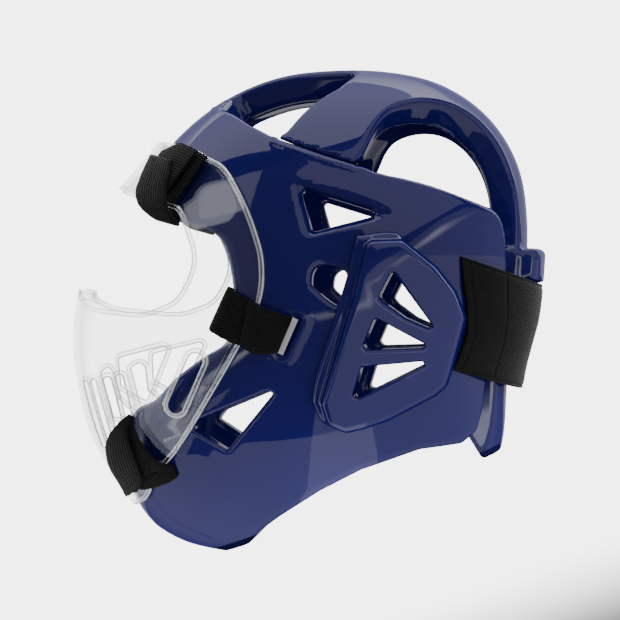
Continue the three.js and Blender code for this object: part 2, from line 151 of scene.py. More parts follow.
VENT_BEVEL = (
    (-0.15, 0.406), (-0.1, 0.174), (-0.066, 0.141), (0.307, 0.225), (0.339, 0.254), (0.3, 0.282),
    (0.124, 0.343),
)
CHIN_PANEL = (
    (-0.64, -0.797), (-0.48, -1.042), (-0.461, -1.107), (-0.48, -1.154), (-0.56, -1.26), (-0.9, -1.3),
    (-1.1, -1.0), (-0.9, -0.8),
)
BEVEL_DEPTH = 3.2
PANEL_PROUD = 0.22
PANEL_FADE = 2.2
CHIN_CREASE = ((-0.93, -1.05), (-0.886, -1.106), (-0.772, -1.236), (-0.659, -1.303), (-0.6, -1.33))
STRAP_BED = ((0.62, 0.067), (1.3, -0.153), (1.3, -0.712), (0.59, -0.497))
STRAP_SINK = 4.0
STITCH_INSET = 1.6
STITCH_SINK = 0.45
HEM_WIDTH = 5.0
LAYERS_JOIN = 29.0
REAR_STRAP_FRONT = ((0.0, 0.640), (0.25, 0.650), (0.5, 0.678), (0.62, 0.670), (0.8, 0.640), (1.0, 0.600))
CHIN_CORNER = (-0.485, -1.39)
NAPE_GAP = ((0.5, -2), (2, -2), (2, 2), (0.5, 2))
NAPE_STRIP = ((0.655, -0.79), (0.735, -0.92), (1.4, -0.92), (1.4, 0.6), (0.52, 0.6), (0.52, -0.6))
NAPE_BLOCK = ((0.88, 0.1), (1.3, 0.1), (1.3, -0.54), (0.85, -0.54))
SHIELD_OUTLINE = (
    (-0.66, 0.58), (-0.56, 0.53), (-0.465, 0.47), (-0.37, 0.31), (-0.31, 0.165), (-0.275, 0.02),
    (-0.29, -0.16), (-0.4, -0.385), (-0.65, -0.785), (-0.775, -0.94), (-0.84, -0.97), (-0.965, -1.16),
    (-1.6, -1.16), (-1.6, 0.9), (-1.0, 0.68),
)
EYE_OPENING = (
    (-1.6, 0.5), (-1.07, 0.4), (-1.0, 0.365), (-0.76, 0.29), (-0.7, 0.26), (-0.645, 0.135), (-0.625, 0.06),
    (-0.635, -0.025), (-0.7, -0.14), (-0.785, -0.185), (-0.875, -0.21), (-1.02, -0.2), (-1.165, -0.18),
    (-1.235, -0.14), (-1.27, -0.09), (-1.6, -0.09),
)
CHEEK_VENT = ((-1.0, -0.43), (-0.74, -0.365), (-0.86, -0.635), (-0.99, -0.565))
MOUTH_VENT = ((-1.1, -0.5), (-1.06, -0.475), (-1.035, -0.5), (-1.02, -0.62), (-0.93, -0.7), (-1.04, -0.72))
SHIELD_SLOT = ((-0.61, -0.44), (-0.715, -0.655))
SLITS = (((-1.2, -0.56), (-1.12, -0.86)), ((-1.15, -0.55), (-1.075, -0.84)))
FRONT_WINDOW = (
    (0.41, -0.53, 0.79), (0.69, -0.375, 0.7), (0.81, -0.24, 0.63), (0.79, -0.19, 0.665), (0.67, -0.08, 0.79),
    (0.55, 0.04, 0.875), (0.41, 0.1, 0.925), (FRONT_BAND_HALF / HALF_WIDTH, 0.13, 0.97),
    (FRONT_BAND_HALF / HALF_WIDTH, -0.48, 0.86),
)
REAR_WINDOW = (
    (0.9, 0.15, 0.49), (0.86, 0.2, 0.58), (0.76, 0.26, 0.7), (0.67, 0.34, 0.78), (0.55, 0.48, 0.8),
    (0.46, 0.64, 0.78), (REAR_BAND_HALF / HALF_WIDTH, 0.78, 0.65), (REAR_BAND_HALF / HALF_WIDTH, 0.88, 0.42),
    (REAR_BAND_HALF / HALF_WIDTH, 0.93, 0.12), (0.5, 0.9, 0.12), (0.54, 0.87, 0.22), (0.61, 0.82, 0.28),
    (0.7, 0.745, 0.31), (0.79, 0.64, 0.35), (0.88, 0.41, 0.42), (0.91, 0.27, 0.455),
)


def smooth_rows(rows: Sequence[tuple[float, float]], keys: Points, loop: float = 0.0) -> Points:
    """Read a table of rows at many keys, joined by cubic curves whose slopes follow the neighbouring rows.

    Args:
        rows: (key, value) pairs in rising order of key.
        keys: where to read the table.
        loop: length after which the keys repeat, or 0 for a table with two ends.

    Returns:
        The value at each key.
    """
    key = np.array([row[0] for row in rows], float)
    value = np.array([row[1] for row in rows], float)
    if loop:
        key = np.concatenate([key[-2:] - loop, key, key[:2] + loop])
        value = np.concatenate([value[-2:], value, value[:2]])
    slope = np.gradient(value, key)
    wanted = np.clip(keys, key[0], key[-1])
    i = np.clip(np.searchsorted(key, wanted, side="right") - 1, 0, len(key) - 2)
    span = key[i + 1] - key[i]
    t = (wanted - key[i]) / span
    return (
        (2 * t**3 - 3 * t**2 + 1) * value[i]
        + (t**3 - 2 * t**2 + t) * slope[i] * span
        + (3 * t**2 - 2 * t**3) * value[i + 1]
        + (t**3 - t**2) * slope[i + 1] * span
    )


class HeadForm:
    """The closed form that the padding follows: a side outline by angle that swells like a superellipse."""

    def __init__(self, bulge: float = 0.0, behind: float = 0.0, beside: float = 0.0) -> None:
        """Tabulate the form.

        Args:
            bulge: how far the mouth of the shield's form stands out; 0 for the padding's own form.
            behind: added to its reach all round.
            beside: added to its half width.
        """
        self.angles = np.arange(0.0, 360.5, 0.5)
        reach = HEAD_REACH * smooth_rows(SIDE_OUTLINE, self.angles, 360.0)
        if bulge:
            reach = reach + bulge * smooth_rows(SHIELD_STANDOFF, self.angles)
        kernel = np.exp(-0.5 * (np.arange(-16, 17) / 6.0) ** 2)
        loop = np.concatenate([reach[:-1][-16:], reach[:-1], reach[:-1][:16]])
        soft = np.convolve(loop, kernel / kernel.sum(), mode="valid")
        self.reach = np.concatenate([soft, soft[:1]]) + behind
        self.turn = np.gradient(self.reach, np.radians(self.angles))
        self.heights = np.arange(-240.0, 200.0, 2.0)
        self.width = HALF_WIDTH * smooth_rows(WIDTHS, self.heights / HEAD_REACH) + beside
        self.taper = np.gradient(self.width, self.heights)

    def distance(self, points: Points) -> Points:
        """Distance outside the form, to first order.

        N is the superellipse norm ((r / reach)^p + (|x| / width)^p)^(1/p), and the distance is (N - 1) over
        the length of N's gradient.

        Args:
            points: rows of x, y, z.

        Returns:
            One distance for each row, negative inside.
        """
        x, y, z = np.abs(points[:, 0]), points[:, 1], points[:, 2]
        radius = np.hypot(y, z) + 1e-6
        angle = np.degrees(np.arctan2(z, y)) % 360.0
        reach = np.interp(angle, self.angles, self.reach)
        turn = np.interp(angle, self.angles, self.turn)
        width = np.interp(z, self.heights, self.width)
        taper = np.interp(z, self.heights, self.taper)
        p = ROUNDNESS
        a, b = radius / reach, x / width
        norm = (a**p + b**p) ** (1 / p) + 1e-6
        ka, kb = (a / norm) ** (p - 1), (b / norm) ** (p - 1)
        outward = ka / reach
        around = -ka * turn / reach**2
        cos, sin = y / radius, z / radius
        gy = outward * cos - around * sin
        gz = outward * sin + around * cos - kb * b * taper / width
        slope = np.sqrt((kb / width) ** 2 + gy**2 + gz**2) + 1e-9
        return (norm - 1) / slope

    def across_at(self, back: Points, up: Points, out: float = 0.0) -> Points:
        """Half width of the form at places of the side view, moved out by a distance.

        Args:
            back: y of each place.
            up: z of each place.
            out: how far outside the form.

        Returns:
            x of the form's left side at each place, 0 past its rim.
        """
        radius = np.hypot(back, up)
        angle = np.degrees(np.arctan2(up, back)) % 360.0
        reach = np.interp(angle, self.angles, self.reach) + out
        width = np.interp(up, self.heights, self.width) + out
        share = np.clip(1 - np.clip(radius / reach, 0, 1) ** ROUNDNESS, 0, 1)
        return width * share ** (1 / ROUNDNESS)


class Outline:
    """A closed outline in a plane, with a table of the signed distance to it."""

    STEP = 0.5
    MARGIN = 30.0
    MOST_STEPS = 700

    def __init__(
        self, corners: Corners, scale: float = HEAD_REACH, corner: float = 0.0, curved: float = 0.0
    ) -> None:
        """Tabulate the signed distance round the outline.

        Args:
            corners: the outline's corners, as shares of the scale.
            scale: length of one share, in mm.
            corner: radius that its outward corners are rounded to.
            curved: turn in degrees below which a corner becomes part of a smooth curve.
        """
        points = np.array(corners, float) * scale
        if self._area(points) < 0:
            points = points[::-1]
        if curved:
            points = self._curve(points, curved)
        if corner:
            points = self._inset(points, corner)
        self.low = points.min(axis=0) - self.MARGIN
        size = points.max(axis=0) + self.MARGIN - self.low
        self.step = max(self.STEP, float(size.max()) / self.MOST_STEPS)
        counts = np.ceil(size / self.step).astype(int) + 1
        u = self.low[0] + self.step * np.arange(counts[0])
        v = self.low[1] + self.step * np.arange(counts[1])
        grid = np.stack(np.meshgrid(u, v, indexing="ij"), axis=-1).reshape(-1, 2)
        self.table = (self._signed(grid, points) - corner).reshape(counts)

    @staticmethod
    def _area(points: Points) -> float:
        """Twice the signed area of a polygon."""
        after = np.roll(points, -1, axis=0)
        return float((points[:, 0] * after[:, 1] - after[:, 0] * points[:, 1]).sum())

    @staticmethod
    def _curve(points: Points, sharp: float, pieces: int = 5) -> Points:
        """A closed Hermite curve through the points, as a finer polygon.

        Args:
            points: the corners.
            sharp: turn in degrees above which a corner keeps straight sides, with no tangent.
            pieces: sides for each corner.

        Returns:
            The polygon.
        """
        before, after = np.roll(points, 1, axis=0), np.roll(points, -1, axis=0)
        first, second = points - before, after - points
        length = np.linalg.norm(first, axis=1) * np.linalg.norm(second, axis=1)
        turn = np.degrees(np.arccos(np.clip((first * second).sum(axis=1) / length, -1, 1)))
        slope = 0.5 * (after - before) * (turn < sharp)[:, None]
        t = (np.arange(pieces) / pieces)[:, None, None]
        curve = (
            points * (2 * t**3 - 3 * t**2 + 1)
            + slope * (t**3 - 2 * t**2 + t)
            + after * (3 * t**2 - 2 * t**3)
            + np.roll(slope, -1, axis=0) * (t**3 - t**2)
        )
        return curve.transpose(1, 0, 2).reshape(-1, 2)

    @staticmethod
    def _inset(points: Points, distance: float) -> Points:
        """The polygon with each side moved inwards and the corners where the moved sides meet.

        Args:
            points: the corners, anticlockwise.
            distance: how far the sides move.

        Returns:
            The new corners.
        """
        side = np.roll(points, -1, axis=0) - points
        side /= np.linalg.norm(side, axis=1, keepdims=True)
        inward = np.stack([-side[:, 1], side[:, 0]], axis=1)
        last = np.roll(inward, 1, axis=0)
        middle = inward + last
        return points + middle * (2 * distance / (middle**2).sum(axis=1, keepdims=True))

    @staticmethod
    def _signed(grid: Points, points: Points) -> Points:
        """Distance from each grid point to the polygon, negative inside it by the crossing rule.

        Args:
            grid: the places.
            points: the corners.

        Returns:
            One distance for each place.
        """
        best = np.full(len(grid), 1e12)
        inside = np.zeros(len(grid), bool)
        for start, end in zip(points, np.roll(points, -1, axis=0)):
            side = end - start
            offset = grid - start
            t = np.clip(offset @ side / max(side @ side, 1e-12), 0, 1)
            away = offset - t[:, None] * side
            best = np.minimum(best, (away**2).sum(axis=1))
            crosses = (start[1] > grid[:, 1]) != (end[1] > grid[:, 1])
            if side[1]:
                inside ^= crosses & (grid[:, 0] < start[0] + side[0] * (grid[:, 1] - start[1]) / side[1])
        return np.where(inside, -1, 1) * np.sqrt(best)

    def distance(self, u: Points, v: Points) -> Points:
        """Signed distance at places in the plane, read from the table between its nodes.

        Args:
            u: first coordinate of each place.
            v: second coordinate of each place.

        Returns:
            The distance at each.
        """
        s = np.clip((u - self.low[0]) / self.step, 0, self.table.shape[0] - 1.001)
        t = np.clip((v - self.low[1]) / self.step, 0, self.table.shape[1] - 1.001)
        i, j = s.astype(np.int32), t.astype(np.int32)
        s, t = s - i, t - j
        near = self.table[i, j] * (1 - s) + self.table[i + 1, j] * s
        far = self.table[i, j + 1] * (1 - s) + self.table[i + 1, j + 1] * s
        return near * (1 - t) + far * t

    def side(self, points: Points) -> Points:
        """Signed distance with the outline drawn in side view."""
        return self.distance(points[:, 1], points[:, 2])


class TopOutline:
    """An outline drawn on the outside of the head and carried towards its middle, on both sides."""

    NEAREST = 20.0
    OUTSIDE = 40.0

    def __init__(
        self, corners: Sequence[tuple[float, float, float]], corner: float = 0.0, curved: float = 0.0
    ) -> None:
        """Lay the outline flat by central projection along its mean direction.

        Args:
            corners: across, back and up of each corner, as shares of HALF_WIDTH and HEAD_REACH.
            corner: radius of its rounded corners.
            curved: turn in degrees below which a corner becomes part of a smooth curve.
        """
        spots = np.array(corners, float) * (HALF_WIDTH, HEAD_REACH, HEAD_REACH)
        self.axis = spots.mean(axis=0)
        self.reach = float(np.linalg.norm(spots, axis=1).mean())
        self.axis /= np.linalg.norm(self.axis)
        self.first = np.cross((0.0, 1.0, 0.0), self.axis)
        self.first /= np.linalg.norm(self.first)
        self.second = np.cross(self.axis, self.first)
        depth = spots @ self.axis
        flat = np.stack([spots @ self.first / depth, spots @ self.second / depth], axis=1) * self.reach
        self.outline = Outline([tuple(row) for row in flat], scale=1.0, corner=corner, curved=curved)

    def side(self, points: Points) -> Points:
        """Signed distance, scaled by how far the point is from the head's middle.

        Args:
            points: rows of x, y, z in the worn frame.

        Returns:
            One distance for each row, negative inside.
        """
        spots = np.concatenate([np.abs(points[:, :1]), points[:, 1:]], axis=1)
        depth = spots @ self.axis
        safe = np.maximum(depth, self.NEAREST)
        u = spots @ self.first / safe * self.reach
        v = spots @ self.second / safe * self.reach
        near = self.outline.distance(u, v) * safe / self.reach
        return np.where(depth > self.NEAREST, near, self.OUTSIDE)


def meet(a: Points, b: Points, radius: float) -> Points:
    """What two solids share, with the edge between them rounded to a radius."""
    ua, ub = np.maximum(radius + a, 0), np.maximum(radius + b, 0)
    return np.minimum(-radius, np.maximum(a, b)) + np.hypot(ua, ub)


def join(a: Points, b: Points, radius: float) -> Points:
    """Two solids together, with a fillet of a radius in the corner between them."""
    ua, ub = np.maximum(radius - a, 0), np.maximum(radius - b, 0)
    return np.maximum(radius, np.minimum(a, b)) - np.hypot(ua, ub)


def ridge(distance: Points, height: float, middle: float, half: float, power: int = 2) -> Points:
    """A rounded ridge that runs along an outline: height * exp(-((distance - middle) / half) ^ power).

    Args:
        distance: distances from the outline.
        height: height of the ridge.
        middle: distance at which it is highest.
        half: half its width.
        power: 2 for a soft ridge, 4 for one with a flat top.

    Returns:
        The height at each distance.
    """
    return height * np.exp(-(((distance - middle) / half) ** power))


def ring_faces(rings: int, sides: int) -> Points:
    """Quads between closed rings of vertices that are numbered ring by ring.

    Args:
        rings: how many rings there are.
        sides: vertices in each.

    Returns:
        Rows of four vertex numbers.
    """
    i, j = (grid.ravel() for grid in np.meshgrid(np.arange(rings - 1), np.arange(sides), indexing="ij"))
    k = (j + 1) % sides
    return np.stack([i * sides + j, (i + 1) * sides + j, (i + 1) * sides + k, i * sides + k], axis=1)


def slot_distance(points: Points, ends: Line, width: float) -> Points:
    """Distance outside a slot with round ends between two points of the side view.

    Args:
        points: rows of x, y, z in the worn frame.
        ends: the middles of its round ends, as shares of HEAD_REACH.
        width: its width in mm.

    Returns:
        One distance for each row, negative inside.
    """
    top, foot = (np.array(end) * HEAD_REACH for end in ends)
    run = foot - top
    offset = points[:, 1:] - top
    t = np.clip(offset @ run / (run @ run), 0, 1)
    return np.linalg.norm(offset - t[:, None] * run, axis=1) - width / 2


class Pose:
    """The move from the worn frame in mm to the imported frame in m."""

    def __init__(self) -> None:
        """Lean back about X, then shift so that the left ear cup lies in its packed box."""
        lean = math.radians(LEAN_BACK)
        self.turn = np.array(
            [[1, 0, 0], [0, math.cos(lean), math.sin(lean)], [0, -math.sin(lean), math.cos(lean)]]
        )
        corners = np.array([(0, *corner) for corner in CUP_RIM + CUP_FOOT]) * HEAD_REACH
        turned = corners @ self.turn.T
        low = np.array(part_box("ear_cup_left")[0])
        self.shift = np.array([0.0, *(low[1:] - turned.min(axis=0)[1:] / 1000)])

    def place(self, points: Points) -> Points:
        """Worn millimetres to packed metres."""
        return points @ self.turn.T / 1000 + self.shift


@dataclass
class Skinner:
    """Turns a signed distance into a mesh of quads that lies on its zero surface."""

    step: float
    smoothing: int = 3
    block: int = 400_000
    reach: float = 0.25
    flattest: float = 0.2

    def grid(
        self, low: Sequence[float], high: Sequence[float], mirrored: bool
    ) -> tuple[Points, list[Points]]:
        """The sample points of a box, with x starting half a step from the middle if it is mirrored.

        Args:
            low: lowest corner.
            high: highest corner.
            mirrored: whether only the half with positive x is sampled.

        Returns:
            The points as rows, and the three axes.
        """
        start = list(low)
        if mirrored:
            start[0] = self.step / 2
        axes = [np.arange(a, b + self.step, self.step) for a, b in zip(start, high)]
        return np.stack(np.meshgrid(*axes, indexing="ij"), axis=-1).reshape(-1, 3), axes

    def sample(self, solid: Field, points: Points) -> Points:
        """The distance at many points, in blocks."""
        return np.concatenate([solid(points[i : i + self.block]) for i in range(0, len(points), self.block)])

    def skin(
        self, solid: Field, low: Sequence[float], high: Sequence[float], mirrored: bool
    ) -> tuple[Points, Points]:
        """Mesh the zero surface.

        Each cell of the grid that the surface passes through gets one vertex, at the mean of the places where
        the cell's edges cross it, and each crossed grid edge gets the quad of its four cells. The vertices
        are then evened out along the surface and brought onto it by Newton steps on the distance itself.

        Args:
            solid: the signed distance.
            low: lowest corner of the box.
            high: highest corner of the box.
            mirrored: whether the solid is symmetric about x = 0, so that only half is sampled.

        Returns:
            The vertices and the quads.
        """
        points, axes = self.grid(low, high, mirrored)
        counts = [len(axis) for axis in axes]
        values = self.sample(solid, points).reshape(counts)
        origin = np.array([axis[0] for axis in axes])
        if mirrored:
            values = np.concatenate([values[::-1], values])
            origin[0] = -axes[0][-1]
        spots, quads = self.nets(values)
        spots = origin + self.step * spots
        for _ in range(self.smoothing):
            spots = self.evened(spots, quads)
            spots = self.settled(solid, spots)
        return spots, quads

    @staticmethod
    def nets(values: Points) -> tuple[Points, Points]:
        """Surface nets of a sampled field: vertices in grid units and quads that face outwards.

        Args:
            values: the field at the nodes of the grid.

        Returns:
            The vertices and the quads.
        """
        inside = values < 0
        shifts = [(i, j, k) for i in (0, 1) for j in (0, 1) for k in (0, 1)]
        size = np.array(values.shape) - 1

        def corner(array: Points, shift: tuple[int, int, int]) -> Points:
            """The array at one corner of every cell."""
            return array[tuple(slice(s, s + n) for s, n in zip(shift, size))]

        some = np.zeros(size, bool)
        every = np.ones(size, bool)
        for shift in shifts:
            part = corner(inside, shift)
            some |= part
            every &= part
        cells = np.argwhere(some & ~every)
        number = np.full(size, -1, np.int64)
        number[tuple(cells.T)] = np.arange(len(cells))
        total = np.zeros((len(cells), 3))
        count = np.zeros(len(cells))
        for first in shifts:
            for axis in range(3):
                if first[axis]:
                    continue
                second = tuple(1 if k == axis else first[k] for k in range(3))
                va = values[tuple((cells + first).T)]
                vb = values[tuple((cells + second).T)]
                crosses = (va < 0) != (vb < 0)
                t = np.where(crosses, va / np.where(crosses, va - vb, 1), 0)
                spot = np.array(first, float) + t[:, None] * np.eye(3)[axis]
                total += spot * crosses[:, None]
                count += crosses
        spots = cells + total / count[:, None]
        quads = []
        for axis in range(3):
            others = [k for k in range(3) if k != axis]
            ahead = [slice(1, -1)] * 3
            ahead[axis] = slice(0, -1)
            beyond = list(ahead)
            beyond[axis] = slice(1, None)
            a, b = inside[tuple(ahead)], inside[tuple(beyond)]
            edges = np.argwhere(a != b)
            base = edges + [0 if k == axis else 1 for k in range(3)]
            leaves = a[tuple(edges.T)]
            ring = []
            for du, dv in ((-1, -1), (0, -1), (0, 0), (-1, 0)):
                cell = base.copy()
                cell[:, others[0]] += du
                cell[:, others[1]] += dv
                ring.append(number[tuple(cell.T)])
            quad = np.stack(ring, axis=1)
            flip = leaves if axis == 1 else ~leaves
            quad[flip] = quad[flip][:, ::-1]
            quads.append(quad)
        return spots, np.concatenate(quads)

    @staticmethod
    def evened(spots: Points, quads: Points) -> Points:
        """Each vertex halfway to the mean of the vertices that it shares a side with.

        Args:
            spots: the vertices.
            quads: the quads.

        Returns:
            The new vertices.
        """
        pairs = np.concatenate([quads[:, [k, (k + 1) % 4]] for k in range(4)])
        total = np.zeros_like(spots)
        for axis in range(3):
            total[:, axis] = np.bincount(pairs[:, 0], spots[pairs[:, 1], axis], len(spots))
            total[:, axis] += np.bincount(pairs[:, 1], spots[pairs[:, 0], axis], len(spots))
        count = np.bincount(pairs.ravel(), minlength=len(spots))
        return 0.5 * spots + 0.5 * total / count[:, None]

    def settled(self, solid: Field, spots: Points) -> Points:
        """The vertices moved along the distance's gradient onto its zero surface.

        Args:
            solid: the signed distance.
            spots: the vertices.

        Returns:
            The new vertices.
        """
        value = self.sample(solid, spots)
        steps = self.reach * np.eye(3)
        slope = np.stack(
            [self.sample(solid, spots + step) - self.sample(solid, spots - step) for step in steps], axis=1
        ) / (2 * self.reach)
        size = (slope**2).sum(axis=1)
        move = -(value / np.maximum(size, self.flattest))[:, None] * slope
        return spots + np.clip(move, -self.step, self.step)


class Builder:
    """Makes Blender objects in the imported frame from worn-frame vertices."""

    def __init__(self) -> None:
        """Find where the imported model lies."""
        self.pose = Pose()

    def mesh(self, name: str, spots: Points, faces: Points, finish: bpy.types.Material) -> bpy.types.Object:
        """Put vertices and faces into a new object.

        Args:
            name: the object's name.
            spots: vertices in the worn frame, in mm.
            faces: rows of vertex numbers, all of one length.
            finish: its material.

        Returns:
            The object, at the origin and shaded smooth.
        """
        data = bpy.data.meshes.new(name)
        data.from_pydata(self.pose.place(spots), [], faces.tolist())
        data.polygons.foreach_set("use_smooth", np.ones(len(data.polygons), bool))
        data.materials.append(finish)
        data.update()
        piece = bpy.data.objects.new(name, data)
        bpy.context.scene.collection.objects.link(piece)
        return piece

    @staticmethod
    def lay_weave(piece: bpy.types.Object, weave: Points) -> None:
        """Write each vertex's place in the weave, in centimetres, as the piece's UV map."""
        layer = piece.data.uv_layers.new(name="weave")
        corner = np.empty(len(piece.data.loops), np.int32)
        piece.data.loops.foreach_get("vertex_index", corner)
        layer.data.foreach_set("uv", (weave[corner] / 10).astype(np.float32).ravel())

    @staticmethod
    def both_sides(spots: Points, faces: Points) -> tuple[tuple[str, Points, Points], ...]:
        """The surface on the left, and its mirror image on the right with its faces still outwards."""
        return ("left", spots, faces), ("right", spots * (-1, 1, 1), faces[:, ::-1])

    @staticmethod
    def enrol(piece: bpy.types.Object, node: str, slot: str) -> None:
        """Let a piece stand for a CAD node on the one body.

        Args:
            piece: the piece.
            node: the CAD node's name.
            slot: the record's material slot; not used.
        """
        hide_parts(node)
        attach(piece, "root")
        LOG.info("%s: %d faces", piece.name, len(piece.data.polygons))


@dataclass
class Padding:
    """The dipped-foam pieces: shell, crown and ear cups."""

    builder: Builder
    finish: bpy.types.Material
    edge: float = 4.0
    vent_edge: float = 2.4
    slot_edge: float = 1.5
    crease: float = 1.1
    nape_fillet: float = 14.0
    step: float = 1.8
    cup_step: float = 0.9
    form: HeadForm = field(default_factory=HeadForm)

    def __post_init__(self) -> None:
        """Tabulate the outlines that several pieces share."""
        self.face = Outline(FACE_OPENING, curved=ALL_TURNS)
        self.neck = Outline(NECK_OPENING)
        self.corner = Outline(NAPE_CORNER, corner=4)
        self.crown_sides = Outline(CROWN_SIDES)
        self.crown_middle = Outline(CROWN_MIDDLE)
        self.windows = [TopOutline(FRONT_WINDOW, corner=5.0), TopOutline(REAR_WINDOW, curved=85.0)]
        self.side_vents = [
            Outline(UPPER_VENT, corner=2.0),
            Outline(TEARDROP, curved=ALL_TURNS),
            Outline(JAW_VENT, corner=1.2),
        ]
        self.cup_vents = [Outline(vent, corner=1.4) for vent in CUP_VENTS]
        self.slot = Outline(STRAP_SLOT, corner=1.0)
        self.nape_gap = Outline(NAPE_GAP)
        self.nape_strip = Outline(NAPE_STRIP, corner=4)
        self.nape_block = Outline(NAPE_BLOCK)
        self.cup_rim = Outline(CUP_RIM, corner=5.0)
        self.cup_foot = Outline(CUP_FOOT, curved=ALL_TURNS)
        self.vent_bevel = Outline(VENT_BEVEL, corner=2.0)
        self.chin_panel = Outline(CHIN_PANEL, corner=3.0)
        self.strap_bed = Outline(STRAP_BED, corner=2.0)

    def relief(self, points: Points) -> Points:
        """Height of the shell's skin over its plain form.

        A bead runs round the strap slot, the upper vent lies in a bevel, the chin panel stands a little
        proud, a weld bead follows the crown's seam and a crease crosses the chin.

        Args:
            points: places in the shell.

        Returns:
            The height in mm at each.
        """
        height = ridge(self.slot.side(points), 0.9, 4.5, 1.7)
        rim, vent = -self.vent_bevel.side(points), np.maximum(self.side_vents[0].side(points), 0.0)
        height -= BEVEL_DEPTH * np.where(rim > 0, rim / (rim + vent + 0.01), 0.0)
        height += PANEL_PROUD * (1 - np.tanh(self.chin_panel.side(points) / PANEL_FADE))
        height += ridge(self.crown_region(points), 0.7, 2.6, 1.4)
        crease = np.full(len(points), np.inf)
        for start, end in zip(CHIN_CREASE, CHIN_CREASE[1:]):
            crease = np.minimum(crease, slot_distance(points, (start, end), 0.0))
        return height - ridge(crease, 0.9, 0.0, 1.1)

    def crown_region(self, points: Points) -> Points:
        """Distance outside the part of the wall that belongs to the crown, less its strip down the nape."""
        across = np.abs(points[:, 0]) - FRONT_BAND_HALF - FOAM_WALL / 6
        return np.minimum(self.crown_sides.side(points), np.maximum(self.crown_middle.side(points), across))

    def ground(self, points: Points) -> Points:
        """Distance above the plane that the headgear stands on."""
        lean = math.radians(LEAN_BACK)
        back, up = CHIN_CORNER[0] * HEAD_REACH, CHIN_CORNER[1] * HEAD_REACH
        level = up * math.cos(lean) - back * math.sin(lean) + REST_LAND
        return points[:, 2] * math.cos(lean) - points[:, 1] * math.sin(lean) - level

    def wall(self, points: Points, relief: Points | float = 0.0) -> Points:
        """The padding all round the head, before anything is cut."""
        out = self.form.distance(points)
        return np.maximum(out - relief, -(out + FOAM_WALL))

    def opened(self, points: Points) -> Points:
        """The wall with the windows in the top, the rear one running into the gap round the nape pad."""
        left = self.wall(points, self.relief(points))
        front, rear = (window.side(points) for window in self.windows)
        nape = np.maximum(self.nape_gap.side(points), np.abs(points[:, 0]) - REAR_PANEL_HALF)
        return meet(left, -np.minimum(front, join(rear, nape, self.nape_fillet)), self.edge)

    def shell(self, points: Points) -> Points:
        """Forehead, side panels, cheeks and chin guard, in one moulding.

        Args:
            points: rows of x, y, z in the worn frame.

        Returns:
            One distance for each row, negative inside.
        """
        left = self.opened(points)
        for outline in (self.face, self.neck, self.corner):
            left = meet(left, -outline.side(points), self.edge)
        for vent in self.side_vents + self.cup_vents:
            left = meet(left, -vent.side(points), self.vent_edge)
        left = meet(left, -self.slot.side(points), self.slot_edge)
        left = meet(left, -self.crown_region(points), self.crease)
        return np.maximum(left, -self.ground(points))

    def crown(self, points: Points) -> Points:
        """Cross band, the band from forehead to nape and the nape pad with its raised block.

        Args:
            points: rows of x, y, z in the worn frame.

        Returns:
            One distance for each row, negative inside.
        """
        across = np.abs(points[:, 0])
        strip = meet(self.nape_strip.side(points), across - REAR_BAND_HALF, self.edge)
        region = np.minimum(self.crown_region(points) + SEAM, strip)
        left = meet(self.wall(points), region, self.crease)
        for window in self.windows:
            left = meet(left, -window.side(points), self.edge)
        out = self.form.distance(points)
        sunk = STRAP_SINK * (0.5 - 0.5 * np.tanh(self.strap_bed.side(points) / 0.6))
        block = meet(out - NAPE_BLOCK_PROUD + sunk, -(out + FOAM_WALL / 2), 1.0)
        block = meet(block, self.nape_block.side(points), self.edge)
        block = meet(block, across - NAPE_BLOCK_HALF, self.edge)
        left = join(left, block, 2.0)
        return np.maximum(left, -self.ground(points))

    def cup(self, points: Points) -> Points:
        """The raised cup over one ear, on its foot, with its three vents.

        Args:
            points: rows of x, y, z in the worn frame.

        Returns:
            One distance for each row, negative inside.
        """
        out = self.form.distance(points)
        rim, foot = self.cup_rim.side(points), self.cup_foot.side(points)
        skirt = meet(out - CUP_SKIRT, np.minimum(rim, foot), 3.0)
        raised = meet(out - CUP_HEIGHT, rim, 3.2)
        cup = join(skirt, raised, 3.0)
        for vent in self.cup_vents:
            cup = meet(cup, -vent.side(points), self.vent_edge)
        return np.maximum(cup, SEAM - out)

    def put(self, name: str, node: str, spots: Points, faces: Points) -> None:
        """Make one padded piece that stands for a CAD node."""
        piece = self.builder.mesh(name, spots, faces, self.finish)
        self.builder.enrol(piece, node, "foam")

    def build(self) -> None:
        """Make the shell, the crown and both ear cups."""
        for node, solid, low, high in (
            ("shell", self.shell, (0, -140, -178), (104, 122, 134)),
            ("crown", self.crown, (0, -90, -120), (104, 136, 136)),
        ):
            self.put(node + "_foam", node, *Skinner(self.step).skin(solid, low, high, mirrored=True))
        cup = Skinner(self.cup_step).skin(self.cup, (40, -14, -100), (114, 86, 26), mirrored=False)
        for side, spots, faces in self.builder.both_sides(*cup):
            self.put("ear_cup_foam_" + side, "ear_cup_" + side, spots, faces)


